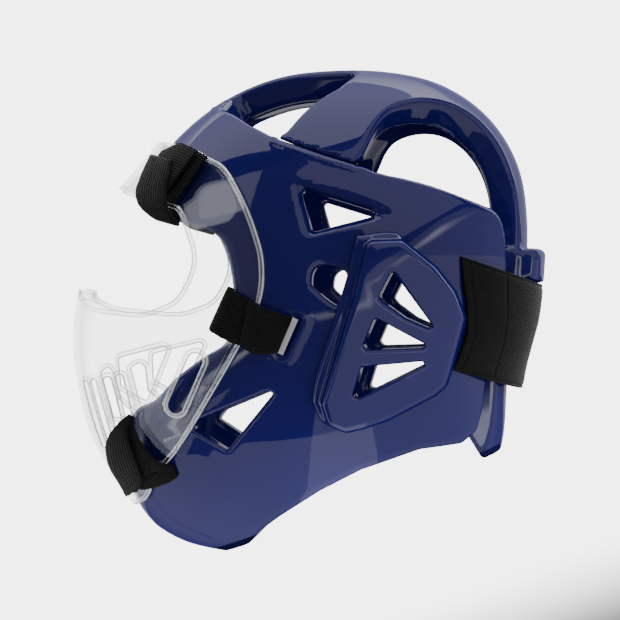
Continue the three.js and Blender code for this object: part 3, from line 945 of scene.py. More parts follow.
class FaceShield:
    """The clear shield, moulded from one sheet of polycarbonate."""

    STEP = 1.2

    def __init__(self, builder: Builder, finish: bpy.types.Material) -> None:
        """Tabulate its form and outlines."""
        self.builder = builder
        self.finish = finish
        self.form = HeadForm(SHIELD_BULGE)
        self.outline = Outline(SHIELD_OUTLINE, curved=100.0)
        self.eye = Outline(EYE_OPENING, curved=ALL_TURNS)
        self.vents = [Outline(CHEEK_VENT, corner=2.0), Outline(MOUTH_VENT, corner=1.5)]

    def bead(self, points: Points) -> Points:
        """Height of the rolled rims over the sheet: along its outline, round its slots and its vents.

        Args:
            points: rows of x, y, z in the worn frame.

        Returns:
            The height at each, in mm.
        """
        outline = self.outline.side(points)
        slot = slot_distance(points, SHIELD_SLOT, STRAP_SLOT_WIDTH)
        height = ridge(outline, 1.3, -1.6, 1.5, 4) * (points[:, 1] > -0.72 * HEAD_REACH)
        height = np.maximum(height, ridge(slot, 1.6, 1.6, 1.6, 4))
        height = np.maximum(height, ridge(self.eye.side(points), 0.8, 1.4, 1.4, 4))
        for vent in self.vents:
            height = np.maximum(height, ridge(vent.side(points), 0.9, 1.3, 1.3, 4))
        return height

    def cut(self, points: Points) -> Points:
        """Distance outside the sheet's plan: its outline less its openings.

        Args:
            points: rows of x, y, z in the worn frame.

        Returns:
            One distance for each row, negative inside.
        """
        left = np.maximum(self.outline.side(points), -self.eye.side(points))
        for vent in self.vents:
            left = np.maximum(left, -vent.side(points))
        for slit in SLITS:
            left = np.maximum(left, -slot_distance(points, slit, SLIT_WIDTH))
        return np.maximum(left, -slot_distance(points, SHIELD_SLOT, STRAP_SLOT_WIDTH))

    def sheet(self, points: Points) -> Points:
        """The sheet with its openings and rolled rims."""
        out = self.form.distance(points)
        sheet = np.maximum(out - SHIELD_GAP - SHIELD_WALL - self.bead(points), SHIELD_GAP - out)
        return meet(sheet, self.cut(points), 1.0)

    def build(self) -> None:
        """Make the shield."""
        spots, faces = Skinner(self.STEP).skin(self.sheet, (0, -164, -150), (108, -28, 92), mirrored=True)
        piece = self.builder.mesh("face_shield_sheet", spots, faces, self.finish)
        edge = piece.data.attributes.new("edge", "FLOAT", "POINT")
        edge.data.foreach_set("value", -self.cut(spots))
        self.builder.enrol(piece, "face_shield", "clear")


@dataclass(frozen=True)
class Station:
    """One crosswise line of a strap in side view: its ends as shares of HEAD_REACH, and its height in mm."""

    first: tuple[float, float]
    second: tuple[float, float]
    height: float


FOREHEAD_UNDER = (
    Station((-0.668, 0.572), (-0.788, 0.371), 5.0),
    Station((-0.614, 0.557), (-0.749, 0.336), 5.2),
    Station((-0.585, 0.542), (-0.728, 0.318), 5.2),
    Station((-0.562, 0.528), (-0.712, 0.301), 5.0),
)
FOREHEAD_HEM = (
    Station((-0.801, 0.562), (-0.883, 0.407), 7.6),
    Station((-0.749, 0.584), (-0.843, 0.386), 7.9),
    Station((-0.697, 0.598), (-0.804, 0.370), 8.0),
    Station((-0.648, 0.578), (-0.778, 0.364), 8.0),
    Station((-0.605, 0.555), (-0.752, 0.362), 7.9),
)
FOREHEAD_WRAP = (
    Station((-0.858, 0.552), (-0.737, 0.515), 9.4),
    Station((-0.895, 0.450), (-0.745, 0.437), 9.6),
    Station((-0.915, 0.375), (-0.757, 0.365), 9.4),
    Station((-0.905, 0.318), (-0.750, 0.310), 9.0),
    Station((-0.862, 0.268), (-0.722, 0.250), 7.6),
    Station((-0.800, 0.236), (-0.690, 0.204), 3.2),
    Station((-0.800, 0.250), (-0.696, 0.222), -2.4),
    Station((-0.850, 0.310), (-0.715, 0.290), -4.2),
    Station((-0.870, 0.400), (-0.720, 0.370), -4.2),
)
CHIN_HEM = (
    Station((-0.790, -0.915), (-0.735, -0.965), -3.0),
    Station((-0.756, -0.945), (-0.730, -1.000), 1.0),
    Station((-0.785, -0.940), (-0.772, -1.032), 5.2),
    Station((-0.854, -0.985), (-0.925, -1.072), 6.6),
    Station((-0.905, -0.960), (-0.965, -1.060), 6.6),
)
CHIN_EDGE = (
    Station((-0.961, -0.709), (-0.925, -0.713), 6.0),
    Station((-1.009, -0.784), (-0.928, -0.771), 6.6),
    Station((-0.985, -0.847), (-0.886, -0.853), 7.6),
    Station((-0.957, -0.914), (-0.828, -0.920), 8.0),
    Station((-0.921, -1.012), (-0.774, -0.953), 8.0),
)
CHIN_WRAP = (
    Station((-0.950, -0.699), (-0.930, -0.713), 6.2),
    Station((-1.023, -0.760), (-0.961, -0.781), 9.4),
    Station((-1.073, -0.829), (-0.953, -0.844), 10.6),
    Station((-1.085, -0.889), (-0.932, -0.907), 10.8),
    Station((-1.071, -0.980), (-0.912, -0.976), 10.8),
    Station((-1.031, -1.049), (-0.902, -1.026), 10.4),
    Station((-1.003, -1.116), (-0.937, -1.085), 9.0),
)
SIDE_WRAP = (
    Station((-0.420, -0.100), (-0.515, -0.290), -2.0),
    Station((-0.438, -0.092), (-0.537, -0.292), 1.2),
    Station((-0.436, -0.094), (-0.530, -0.300), 4.6),
    Station((-0.385, -0.128), (-0.460, -0.340), 5.6),
    Station((-0.325, -0.160), (-0.375, -0.372), 5.6),
    Station((-0.295, -0.176), (-0.345, -0.380), 5.0),
)
SIDE_HEM = (
    Station((-0.318, -0.165), (-0.368, -0.374), 5.4),
    Station((-0.334, -0.156), (-0.384, -0.371), 7.4),
    Station((-0.320, -0.166), (-0.368, -0.380), 8.4),
    Station((-0.282, -0.184), (-0.345, -0.396), 7.8),
    Station((-0.220, -0.206), (-0.285, -0.408), 7.4),
    Station((-0.170, -0.222), (-0.232, -0.402), 6.0),
    Station((-0.153, -0.230), (-0.216, -0.398), 3.2),
    Station((-0.151, -0.231), (-0.213, -0.398), 0.8),
)


@dataclass
class Band:
    """One run of webbing with rounded selvedges, laid over a form."""

    form: HeadForm
    wall: float = STRAP_WALL
    along: int = 90
    around: int = 64
    waviness: float = 0.08
    fray: float = 0.0

    def rows(self, stations: Sequence[Station], rng: np.random.Generator) -> Points:
        """The stations at even steps along the band, joined by curves and a little wavy.

        Args:
            stations: the band's crosswise lines.
            rng: source of the waviness.

        Returns:
            Rows of first y, first z, second y, second z and height, in mm.
        """
        rows = np.array([(*s.first, *s.second, s.height / HEAD_REACH) for s in stations]) * HEAD_REACH
        middle = (rows[:, 0:2] + rows[:, 2:4]) / 2
        run = np.hypot(*np.diff(middle, axis=0).T) + np.abs(np.diff(rows[:, 4]))
        key = np.concatenate([[0.0], np.cumsum(run)])
        keys = np.linspace(0.0, key[-1], self.along)
        table = np.stack([smooth_rows(list(zip(key, rows[:, k])), keys) for k in range(5)], axis=1)
        for rate in (0.17, 0.41, 0.9):
            phase = rng.uniform(0, 2 * math.pi, 4)
            table[:, :4] += self.waviness * np.sin(np.arange(self.along)[:, None] * rate + phase)
        return table

    def lifted(self, rows: Points, u: Points, v: Points) -> Points:
        """Points of the middle surface.

        Args:
            rows: the crosswise lines.
            u: place along the band, by the number of the row.
            v: place across it, from 0 at the first ends to 1 at the second.

        Returns:
            Rows of x, y, z.
        """
        u = np.clip(u, 0, len(rows) - 1.001)
        i = u.astype(int)
        t = (u - i)[:, None]
        row = rows[i] * (1 - t) + rows[i + 1] * t
        back = row[:, 0] + (row[:, 2] - row[:, 0]) * v
        up = row[:, 1] + (row[:, 3] - row[:, 1]) * v
        return np.stack([self.form.across_at(back, up, row[:, 4]), back, up], axis=1)

    def skin(self, stations: Sequence[Station], seed: int) -> tuple[Points, Points, Points]:
        """Sweep a flat rounded section along the stations.

        The section's points run round a superellipse. The middle surface is lifted over the form, and each
        point moves off it along its normal by the section's height, which falls away at the band's two ends.

        Args:
            stations: the band's crosswise lines.
            seed: start of its random waviness.

        Returns:
            Vertices, quads, and each vertex's place in the weave, in mm along and across.
        """
        rng = np.random.default_rng(seed)
        rows = self.rows(stations, rng)
        return self.sweep(lambda u, v: self.lifted(rows, u, v), rng)

    def sweep(self, surface: Surface, rng: np.random.Generator) -> tuple[Points, Points, Points]:
        """Give a middle surface its wall.

        Args:
            surface: the middle surface, by row number and by share of the width.
            rng: source of the frayed end.

        Returns:
            Vertices, quads, and each vertex's place in the weave, in mm along and across.
        """
        count, around = self.along, self.around
        turn = (np.arange(around) + 0.5) * 2 * math.pi / around
        cross = 0.5 + 0.5 * np.sign(np.cos(turn)) * np.abs(np.cos(turn)) ** 0.35
        proud = np.sign(np.sin(turn)) * np.abs(np.sin(turn)) ** 0.4 * self.wall / 2
        u = np.repeat(np.arange(count, dtype=float), around)
        v = np.tile(cross, count)
        if self.fray:
            tooth = np.tile(rng.uniform(0, self.fray, around), count)
            u = np.where(u > count - 7, u - tooth * (u - count + 7) / 6, u)
        ends = np.clip(np.minimum(u, count - 1 - u) / 1.8, 0, 1)
        thin = np.sqrt(np.clip(1 - (1 - ends) ** 2, 0.03, 1))
        middle = surface(u, v)
        du = surface(np.minimum(u + 0.7, count - 1.002), v) - surface(np.maximum(u - 0.7, 0), v)
        dv = surface(u, np.minimum(v + 0.02, 1.0)) - surface(u, np.maximum(v - 0.02, 0.0))
        normal = np.cross(du, dv)
        normal /= np.linalg.norm(normal, axis=1, keepdims=True) + 1e-9
        row = np.arange(count, dtype=float)
        line = surface(row, np.full(count, 0.5))
        length = np.concatenate([[0.0], np.cumsum(np.linalg.norm(np.diff(line, axis=0), axis=1))])
        width = np.linalg.norm(
            surface(row, np.full(count, 0.98)) - surface(row, np.full(count, 0.02)), axis=1
        ).mean()
        weave = np.stack([np.repeat(length, around), v * width], axis=1)
        height = np.tile(proud, count) * thin
        outer = height * np.sign((normal[:, :2] * middle[:, :2]).sum(axis=1)) > 0
        height += np.sign(height) * outer * self.relief(weave[:, 0], weave[:, 1], length[-1], width)
        spots = middle + normal * height[:, None]
        sides = ring_faces(count, around)
        j = np.arange(around // 2 - 1)
        near = np.stack([j, j + 1, around - 2 - j, around - 1 - j], axis=1)
        far = near[:, ::-1] + (count - 1) * around
        return spots, self.outwards(spots, np.concatenate([sides, near, far])), weave

    def relief(self, along: Points, across: Points, length: float, width: float) -> Points:
        """Height of the outer face over plain webbing, by place in the weave."""
        return np.zeros(len(along))

    @staticmethod
    def outwards(spots: Points, faces: Points) -> Points:
        """The faces, all turned round if the volume that they enclose comes out negative."""
        a, b, c, d = (spots[faces[:, k]] for k in range(4))
        volume = (np.cross(b - a, c - a) * a).sum() + (np.cross(c - a, d - a) * a).sum()
        return faces if volume > 0 else faces[:, ::-1]


@dataclass
class RearBand(Band):
    """The wide strap, which lies on the side panels and goes round the nape block."""

    top: Line = ((0.635, 0.055), (1.3, -0.165))
    foot: Line = ((0.605, -0.485), (1.3, -0.7))

    @staticmethod
    def level(line: Line, back: Points) -> Points:
        """Height of a straight edge of the strap at distances behind the head's middle."""
        (y0, z0), (y1, z1) = line
        return (z0 + (back / HEAD_REACH - y0) * (z1 - z0) / (y1 - y0)) * HEAD_REACH

    def at(self, azimuth: Points, v: Points) -> Points:
        """Points of the strap's middle surface.

        Each is found on a level ray from the head's middle by halving. Its level follows the strap's edges.

        Args:
            azimuth: angle of the ray from straight back, in radians.
            v: share of the width, from the top edge to the foot.

        Returns:
            The points.
        """
        near, far = np.full(len(azimuth), 50.0), np.full(len(azimuth), 170.0)
        for _ in range(26):
            middle = (near + far) / 2
            back = middle * np.cos(azimuth)
            up = self.level(self.top, back) * (1 - v) + self.level(self.foot, back) * v
            spots = np.stack([middle * np.sin(azimuth), back, up], axis=1)
            outside = self.form.distance(spots) > 0
            far = np.where(outside, middle, far)
            near = np.where(outside, near, middle)
        return spots

    def relief(self, along: Points, across: Points, length: float, width: float) -> Points:
        """Sunk lines of stitching inside the long edges and the hems, and where the layers are joined.

        Args:
            along: place along the strap, in mm.
            across: place across it, in mm.
            length: its length.
            width: its width.

        Returns:
            The height at each place, in mm.
        """
        end = np.minimum(along, length - along)
        edge = np.minimum(across, width - across)
        sunk = ridge(edge, 1.0, STITCH_INSET, 0.7) * (end > STITCH_INSET)
        for line in (HEM_WIDTH, LAYERS_JOIN):
            sunk = np.maximum(sunk, ridge(end, 1.0, line, 0.8))
        return -STITCH_SINK * sunk

    def wrap(self, front: Field, seed: int) -> tuple[Points, Points, Points]:
        """Sweep the whole strap from the right panel to the left.

        Args:
            front: azimuth of the strap's front edge at each share of its width.
            seed: start of its random numbers.

        Returns:
            Vertices, quads and places in the weave.
        """
        def surface(u: Points, v: Points) -> Points:
            """The middle surface between the two front edges."""
            return self.at((2 * u / (self.along - 1) - 1) * front(v), v)

        return self.sweep(surface, np.random.default_rng(seed))


class Straps:
    """All the woven straps and the grey bars behind the side straps."""

    def __init__(self, builder: Builder, ribbed: bpy.types.Material, knitted: bpy.types.Material,
                 wide: bpy.types.Material, grey: bpy.types.Material) -> None:
        """Keep the finishes and the forms that the straps lie on."""
        self.builder = builder
        self.ribbed, self.knitted, self.wide, self.grey = ribbed, knitted, wide, grey
        self.shield_form = HeadForm(SHIELD_BULGE)

    def put(self, name: str, made: tuple[Points, Points, Points], finish: bpy.types.Material,
            slot: str = "webbing") -> None:
        """Place one band on each side of the head, standing for that side's CAD node.

        Args:
            name: the piece's name without its side: the CAD node's name and one word more.
            made: vertices, quads and weave places of the left one.
            finish: its material.
            slot: the record's material slot.
        """
        spots, faces, weave = made
        node = name.rsplit("_", 1)[0]
        for side, placed, turned in self.builder.both_sides(spots, faces):
            piece = self.builder.mesh(f"{name}_{side}", placed, turned, finish)
            self.builder.lay_weave(piece, weave)
            self.builder.enrol(piece, f"{node}_{side}", slot)

    def build(self) -> None:
        """Make every strap."""
        plain = Band(self.shield_form)
        frayed = Band(self.shield_form, fray=3.5)
        runs = (
            ("forehead_strap_under", FOREHEAD_UNDER, plain, self.ribbed),
            ("forehead_strap_hem", FOREHEAD_HEM, plain, self.ribbed),
            ("forehead_strap_wrap", FOREHEAD_WRAP, plain, self.ribbed),
            ("chin_strap_hem", CHIN_HEM, plain, self.ribbed),
            ("chin_strap_edge", CHIN_EDGE, plain, self.ribbed),
            ("chin_strap_wrap", CHIN_WRAP, frayed, self.ribbed),
            ("side_strap_wrap", SIDE_WRAP, plain, self.knitted),
            ("side_strap_hem", SIDE_HEM, plain, self.knitted),
        )
        for seed, (name, stations, band, finish) in enumerate(runs, start=1):
            self.put(name, band.skin(stations, seed), finish)
        bar = Band(HeadForm(), wall=3.0, along=24, around=24, waviness=0.0)
        self.put("strap_bar_moulded", bar.skin(self.bar(), seed=9), self.grey, "grey")
        self.rear()

    @staticmethod
    def bar() -> tuple[Station, ...]:
        """The grey bar's crosswise lines, from its top end to its foot."""
        top, foot = np.array([-0.127, -0.240]), np.array([-0.202, -0.406])
        run = (foot - top) / np.linalg.norm(foot - top)
        half = np.array([run[1], -run[0]]) * 1.7 / HEAD_REACH
        return tuple(
            Station(tuple(top + (foot - top) * t - half), tuple(top + (foot - top) * t + half), 3.6)
            for t in np.linspace(0, 1, 5)
        )

    def rear(self) -> None:
        """Make the wide strap, whose front edges run beside the ear cups."""
        behind = NAPE_BLOCK_PROUD - STRAP_SINK + STRAP_SLACK + STRAP_WALL / 2
        form = HeadForm(behind=behind, beside=STRAP_WALL / 2 - STRAP_DRAW)
        band = RearBand(form, along=380, around=160, wall=STRAP_WALL)
        edge = np.array(REAR_STRAP_FRONT)

        def front(v: Points) -> Points:
            """Azimuth of the front edge at shares of the width, found by halving."""
            wanted = np.interp(v, edge[:, 0], edge[:, 1]) * HEAD_REACH
            low, high = np.full(len(v), 0.3), np.full(len(v), 1.3)
            for _ in range(18):
                middle = (low + high) / 2
                behind_edge = band.at(middle, v)[:, 1] > wanted
                low = np.where(behind_edge, middle, low)
                high = np.where(behind_edge, high, middle)
            return low

        shares = np.linspace(0, 1, 41)
        azimuths = front(shares)
        spots, faces, weave = band.wrap(lambda v: np.interp(v, shares, azimuths), 10)
        piece = self.builder.mesh("rear_strap_webbing", spots, faces, self.wide)
        self.builder.lay_weave(piece, weave)
        self.builder.enrol(piece, "rear_strap", "webbing")


class Term:
    """A shader socket that takes part in Python arithmetic."""

    def __init__(self, shader: "Shader", socket: bpy.types.NodeSocket) -> None:
        """Wrap a socket of a shader's tree."""
        self.shader = shader
        self.socket = socket

    def __add__(self, other: "Term | float") -> "Term":
        """Sum."""
        return self.shader.maths("ADD", self, other)

    def __sub__(self, other: "Term | float") -> "Term":
        """Difference."""
        return self.shader.maths("SUBTRACT", self, other)

    def __mul__(self, other: "Term | float") -> "Term":
        """Product."""
        return self.shader.maths("MULTIPLY", self, other)

    def __rsub__(self, other: float) -> "Term":
        """Difference with the number first."""
        return self.shader.maths("SUBTRACT", other, self)

    __radd__ = __add__
    __rmul__ = __mul__


class Shader:
    """A material's node tree, with one way to add a node and set its sockets."""

    def __init__(self, name: str, **constants: object) -> None:
        """Start a material with a Principled shader and set its constant sockets.

        Args:
            name: the material's name.
            constants: values for the shader's sockets, with _ for a space in a name.
        """
        self.material = bpy.data.materials.new(name)
        self.material.use_nodes = True
        self.tree = self.material.node_tree
        self.tree.nodes.clear()
        output = self.tree.nodes.new("ShaderNodeOutputMaterial")
        self.surface = self.node("ShaderNodeBsdfPrincipled", **constants)
        self.tree.links.new(self.surface.outputs[0], output.inputs["Surface"])

    def node(self, kind: str, settings: dict[str, object] | None = None, **sockets: object) -> bpy.types.Node:
        """Add a node.

        Args:
            kind: its Blender type.
            settings: its properties, set before its sockets.
            sockets: values or terms for its sockets, with _ for a space in a socket's name.

        Returns:
            The node.
        """
        made = self.tree.nodes.new(kind)
        for name, value in (settings or {}).items():
            setattr(made, name, value)
        for name, value in sockets.items():
            self.feed(made, name.replace("_", " "), value)
        return made

    def feed(self, node: bpy.types.Node, name: str | int, value: object) -> None:
        """Set a socket to a value, or link a term to it."""
        if isinstance(value, Term):
            self.tree.links.new(value.socket, node.inputs[name])
        else:
            node.inputs[name].default_value = value

    def maths(self, operation: str, *values: "Term | float") -> Term:
        """A Math node on values."""
        made = self.node("ShaderNodeMath", {"operation": operation})
        for number, value in enumerate(values):
            self.feed(made, number, value)
        return Term(self, made.outputs[0])

    def place(self) -> Term:
        """Object coordinates."""
        return Term(self, self.node("ShaderNodeTexCoord").outputs["Object"])

    def weave(self) -> tuple[Term, Term]:
        """Place along and across a piece's weave, in mm."""
        where = self.node("ShaderNodeUVMap", {"uv_map": "weave"})
        parts = self.node("ShaderNodeSeparateXYZ", Vector=Term(self, where.outputs["UV"]))
        return Term(self, parts.outputs["X"]) * 10.0, Term(self, parts.outputs["Y"]) * 10.0

    def noise(self, place: Term, scale: float) -> Term:
        """Noise from 0 to 1 at a place."""
        return Term(self, self.node("ShaderNodeTexNoise", Vector=place, Scale=scale).outputs["Fac"])

    def facing(self) -> Term:
        """0 where the surface is seen face on, rising to 1 at a flat angle."""
        return Term(self, self.node("ShaderNodeLayerWeight", Blend=0.5).outputs["Facing"])

    def ramp(self, value: Term, low: float, high: float, start: float = 0.0, end: float = 1.0) -> Term:
        """A value's range from low to high mapped smoothly to start to end."""
        made = self.node("ShaderNodeMapRange", {"interpolation_type": "SMOOTHSTEP"}, Value=value)
        for name, number in (("From Min", low), ("From Max", high), ("To Min", start), ("To Max", end)):
            self.feed(made, name, number)
        return Term(self, made.outputs["Result"])

    def colour(self, mask: Term, first: Colour, second: Colour) -> None:
        """Base colour that goes from the first to the second as the mask rises."""
        made = self.node("ShaderNodeMix", {"data_type": "RGBA"})
        for number, value in ((0, mask), (6, first), (7, second)):
            self.feed(made, number, value)
        self.feed(self.surface, "Base Color", Term(self, made.outputs[2]))

    def bump(self, height: Term, distance: float, strength: float = 1.0) -> None:
        """Relief of a depth in metres."""
        made = self.node("ShaderNodeBump", Height=height, Strength=strength, Distance=distance)
        self.feed(self.surface, "Normal", Term(self, made.outputs["Normal"]))


@dataclass(frozen=True)
class FoamSkin:
    """Glossy navy vinyl skin over foam."""

    gloss: float = 0.72
    gloss_at_rim: float = 0.07
    colour: Colour = (0.0046, 0.0036, 0.072, 1.0)
    worn: Colour = (0.006, 0.0048, 0.088, 1.0)

    def make(self) -> bpy.types.Material:
        """The material: orange peel, long soft waves of the dipped skin and slightly uneven gloss."""
        shader = Shader("navy_foam_skin", Roughness=0.6, Coat_Roughness=0.04, Specular_IOR_Level=0.0)
        flat = shader.facing()
        gloss = shader.ramp(flat, 0.25, 0.8, self.gloss, self.gloss_at_rim)
        shader.feed(shader.surface, "Coat Weight", gloss)
        place = shader.place()
        cloud = shader.noise(place, 9.0)
        shader.colour(cloud, self.colour, self.worn)
        peel = shader.noise(place, 420.0) * 0.25 + shader.noise(place, 75.0) * 0.75
        shader.bump(peel, 0.0004, 0.35)
        return shader.material


@dataclass(frozen=True)
class ClearSheet:
    """Polished clear polycarbonate."""

    face_on: float = 0.05
    bright: Colour = (0.85, 0.87, 0.92, 1.0)
    # Mirror tint at flat angles, painted darker: painted shade in place of refraction at the sheet's turning
    # edges.
    painted_dark_rim: Colour = (0.05, 0.055, 0.08, 1.0)

    def make(self) -> bpy.types.Material:
        """The material: see-through face on, a mirror at flat angles with a painted darker tint, and painted
        highlight lines along its cut edges.

        The attribute "edge" is the distance from the nearest cut edge in mm. A painted pale line runs along
        each edge, a fainter painted one where the far corner of the cut would show through, and a faint
        painted haze between.

        Returns:
            The material.
        """
        shader = Shader("clear_polycarbonate", Roughness=0.015)
        edge = Term(shader, shader.node("ShaderNodeAttribute", {"attribute_name": "edge"}).outputs["Fac"])
        flat = shader.facing()
        # Painted highlight lines along the cut edges: near the edge and 2.6 mm in the sheet turns less
        # metallic and more opaque, so pale lines show, with a faint painted haze between.
        near = shader.ramp(edge, 0.5, 0.9, 1.0, 0.0)
        far = shader.ramp(shader.maths("ABSOLUTE", edge - 2.6), 0.2, 0.6, 1.0, 0.0)
        between = shader.ramp(edge, 2.4, 2.8, 1.0, 0.0)
        line = shader.maths("MAXIMUM", near, far * 0.6)
        shader.feed(shader.surface, "Metallic", 1.0 - line * 0.8)
        # The mirror tint turns to the painted dark rim colour at flat angles: painted shade.
        shader.colour(shader.ramp(flat, 0.2, 0.85, 0.0, 0.75), self.bright, self.painted_dark_rim)
        shine = shader.maths("POWER", flat, 5.0) + self.face_on
        cover = shine + line * 0.6 + between * 0.12
        shader.feed(shader.surface, "Alpha", shader.maths("MINIMUM", cover, 0.96))
        return shader.material


class Weave(Enum):
    """How a strap is woven: ribs along it, or a knitted honeycomb."""

    ALONG = "along"
    HONEYCOMB = "honeycomb"


@dataclass(frozen=True)
class Webbing:
    """Black elastic webbing."""

    name: str
    pattern: Weave
    pitch: float
    depth: float = 0.0005
    stitched: bool = False
    colour: Colour = (0.0006, 0.0006, 0.0009, 1.0)
    # Paler colour of the crowns of the weave: painted highlight.
    painted_crown_highlight: Colour = (0.006, 0.006, 0.0068, 1.0)

    def make(self) -> bpy.types.Material:
        """The material: ribs or knots in relief with painted highlight on crowns and shade in hollows, and
        stitches where sewn.
        """
        shader = Shader(self.name, Specular_IOR_Level=0.15, Roughness=0.8)
        along, across = shader.weave()
        wobble = shader.noise(shader.place(), 260.0)
        turn = 2 * math.pi / self.pitch
        if self.pattern is Weave.HONEYCOMB:
            first = shader.maths("SINE", (along + across * 1.7) * turn)
            second = shader.maths("SINE", (along - across * 1.7) * turn)
            relief = shader.maths("ABSOLUTE", first * second) * 1.2
        else:
            ribs = shader.maths("SINE", (across + wobble * (0.3 * self.pitch)) * turn)
            pick = shader.maths("SINE", along * (turn * 1.3))
            relief = ribs * 0.4 + pick * 0.1 + 0.5
        if self.stitched:
            relief = relief * 0.55 + self.stitches(shader, along, across)
        relief = relief + wobble * 0.3
        # Base colour by relief height: painted shade in the hollows, painted highlight on crowns and
        # stitches, with random tone from the noise.
        shader.colour(shader.ramp(relief, 0.3, 1.2), self.colour, self.painted_crown_highlight)
        shader.bump(relief, self.depth)
        return shader.material

    @staticmethod
    def stitches(shader: Shader, along: Term, across: Term) -> Term:
        """A row of stitches inside one edge of the wide strap, whose dashes get painted highlight and groove
        painted shade.

        Args:
            shader: the material.
            along: place along the strap, in mm.
            across: place across it, in mm.

        Returns:
            The height of the relief.
        """
        row = shader.maths("ABSOLUTE", across - 2.4)
        dash = shader.ramp(shader.maths("SINE", along * (2 * math.pi / 3.0)), -0.2, 0.3)
        line = shader.ramp(row, 0.3, 0.6, 1.0, 0.0) * dash
        # The groove also darkens the base colour in make: painted shade.
        groove = shader.ramp(row, 0.5, 1.2, 0.6, 0.0)
        return line * 0.5 - groove * 0.5


@dataclass(frozen=True)
class GreyPlastic:
    """Pale grey moulded plastic."""

    dark: Colour = (0.30, 0.30, 0.31, 1.0)
    pale: Colour = (0.36, 0.36, 0.37, 1.0)

    def make(self) -> bpy.types.Material:
        """The material, with a fine satin grain."""
        shader = Shader("grey_plastic", Roughness=0.42)
        place = shader.place()
        shader.colour(shader.noise(place, 60.0), self.dark, self.pale)
        shader.bump(shader.noise(place, 1500.0), 0.00008)
        return shader.material


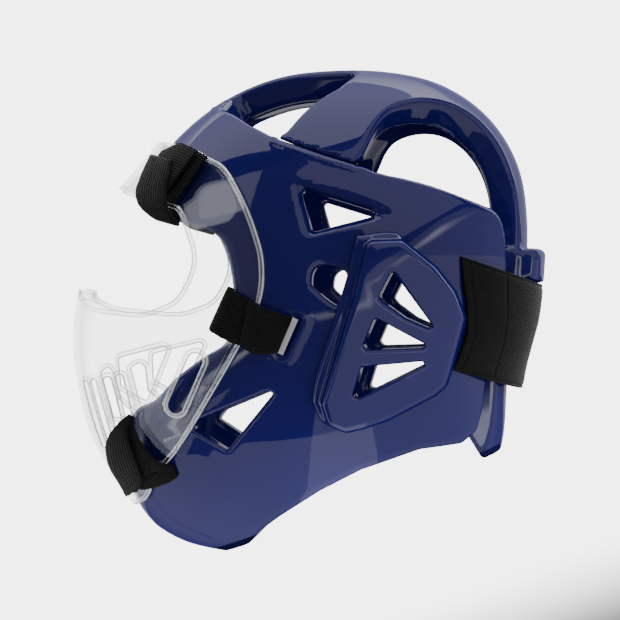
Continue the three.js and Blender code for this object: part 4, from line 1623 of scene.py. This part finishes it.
@dataclass
class Studio:
    """Pale floor and backdrop, soft lights and the photograph's camera."""

    pose: Pose
    turn_to_rear: float = 4.5
    distance: float = 1500.0
    view_width: float = 372.0
    aim: tuple[float, float, float] = (0.0, -15.0, -24.0)

    def camera(self) -> None:
        """Stand level with the worn head's left side, turned a little to the rear."""
        a = math.radians(self.turn_to_rear)
        back = np.array([math.cos(a), math.sin(a), 0.0])
        right = np.array([-math.sin(a), math.cos(a), 0.0])
        up = np.array([0.0, 0.0, 1.0])
        eye = self.pose.place(np.array([self.aim]) + back * self.distance)[0]
        axes = [self.pose.turn @ axis for axis in (right, up, back)]
        data = bpy.data.cameras.new("camera")
        data.lens = SENSOR_WIDTH * self.distance / self.view_width
        data.clip_end = 30.0
        camera = bpy.data.objects.new("camera", data)
        turn = Matrix([list(row) for row in np.array(axes).T]).to_4x4()
        camera.matrix_world = Matrix.Translation(Vector(eye)) @ turn
        bpy.context.scene.collection.objects.link(camera)
        bpy.context.scene.camera = camera

    @staticmethod
    def light(name: str, where: tuple[float, float, float], size: tuple[float, float], radiance: float,
              lie: bool = False) -> None:
        """A softbox, seen in the gloss but not by the camera.

        Args:
            name: the lamp's name.
            where: its middle, in metres.
            size: its sides in metres.
            radiance: brightness of its face.
            lie: whether it lies flat and faces up, instead of facing the headgear.
        """
        data = bpy.data.lights.new(name, "AREA")
        data.shape = "RECTANGLE"
        data.size, data.size_y = size
        data.energy = radiance * math.pi * size[0] * size[1]
        lamp = bpy.data.objects.new(name, data)
        lamp.location = where
        if lie:
            lamp.rotation_euler = (math.pi, 0.0, 0.0)
        else:
            direction = Vector((0.0, 0.0, LIT_HEIGHT)) - Vector(where)
            lamp.rotation_euler = direction.to_track_quat("-Z", "Y").to_euler()
        lamp.visible_camera = False
        bpy.context.scene.collection.objects.link(lamp)

    def backdrop(self) -> None:
        """A pale floor that curves up into a wall all round, brightest where it is seen at a flat angle."""
        turns = np.linspace(0, 2 * math.pi, PAPER_SIDES, endpoint=False)
        bend = np.linspace(0, math.pi / 2, 10)
        run = np.concatenate([[0.001, 0.5, 1.2], 3.0 + np.sin(bend), [4.0]])
        rise = np.concatenate([[0.0, 0.0, 0.0], 1 - np.cos(bend), [5.0]])
        spots = [(r * math.cos(t), r * math.sin(t), z) for r, z in zip(run, rise) for t in turns]
        data = bpy.data.meshes.new("backdrop")
        data.from_pydata(spots, [], ring_faces(len(run), PAPER_SIDES).tolist())
        data.polygons.foreach_set("use_smooth", np.ones(len(data.polygons), bool))
        shader = Shader("pale_paper", Base_Color=(0.05, 0.05, 0.05, 1.0), Roughness=1.0,
                        Specular_IOR_Level=0.0, Emission_Strength=1.0)
        view = shader.facing()
        parts = shader.node("ShaderNodeSeparateXYZ", Vector=shader.place())
        across = shader.maths("ABSOLUTE", Term(shader, parts.outputs["Y"]))
        left = Term(shader, parts.outputs["X"])
        near = shader.ramp(across, 0.65, 1.0, 1.0, 0.0) * shader.ramp(left, 0.7, 0.95, 1.0, 0.0)
        flat = shader.ramp(view, 0.82, 0.86) * near
        behind = shader.ramp(left, -1.3, -0.5, 1.0, 0.0)
        lit = shader.maths("MAXIMUM", flat, behind)
        glow = lit * (PAPER_BRIGHT - PAPER_DOWN) + PAPER_DOWN
        shader.feed(shader.surface, "Emission Color", glow)
        data.materials.append(shader.material)
        piece = bpy.data.objects.new("backdrop", data)
        bpy.context.scene.collection.objects.link(piece)

    def build(self) -> None:
        """Set the whole studio."""
        self.camera()
        self.backdrop()
        self.light("low_rear", (0.5, 0.16, 0.004), (1.4, 0.4), 1.1, lie=True)
        self.light("low_back", (0.2, 0.86, 0.003), (2.0, 1.0), 0.6, lie=True)
        self.light("low_front", (-0.19, -0.39, 0.004), (0.62, 0.8), 1.3, lie=True)
        self.light("low_cheek", (0.21, -0.5, 0.003), (0.18, 0.6), 1.2, lie=True)
        self.light("side_rear", (1.1, 0.95, 0.75), (1.9, 1.5), 1.1)
        self.light("brow", (1.1, -0.82, 1.4), (1.0, 0.6), 1.7)
        self.light("top", (-0.35, 0.3, 1.7), (2.6, 3.0), 2.6)
        self.light("face", (-0.3, -1.7, 0.6), (1.8, 1.2), 0.6)
        self.light("right", (-1.5, 0.55, 0.8), (1.5, 1.2), 0.3)
        world = bpy.data.worlds.new("studio")
        world.use_nodes = True
        air = world.node_tree.nodes["Background"]
        air.inputs["Color"].default_value = AIR_TINT
        air.inputs["Strength"].default_value = AIR_BRIGHT
        bpy.context.scene.world = world


def main() -> None:
    """Build every sub-assembly in order and note the sizes."""
    logging.basicConfig(level=logging.INFO, format="%(name)s: %(message)s")
    for start in list(bpy.data.objects):
        bpy.data.objects.remove(start)
    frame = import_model()
    LOG.info("%d nodes in the frame", len(frame["nodes"]))
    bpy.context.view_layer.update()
    builder = Builder()
    Studio(builder.pose).build()
    ribbed = Webbing("ribbed_webbing", Weave.ALONG, 1.5).make()
    # Its paler crown colour is a painted highlight.
    knitted = Webbing(
        "knitted_webbing", Weave.HONEYCOMB, 4.6, depth=0.0012, painted_crown_highlight=(0.013, 0.013, 0.0145, 1.0)
    ).make()
    wide = Webbing("wide_webbing", Weave.ALONG, 1.1, depth=0.0003, stitched=True).make()
    grey = GreyPlastic().make()
    Padding(builder, FoamSkin().make()).build()
    FaceShield(builder, ClearSheet().make()).build()
    Straps(builder, ribbed, knitted, wide, grey).build()


if __name__ == "__main__":
    main()
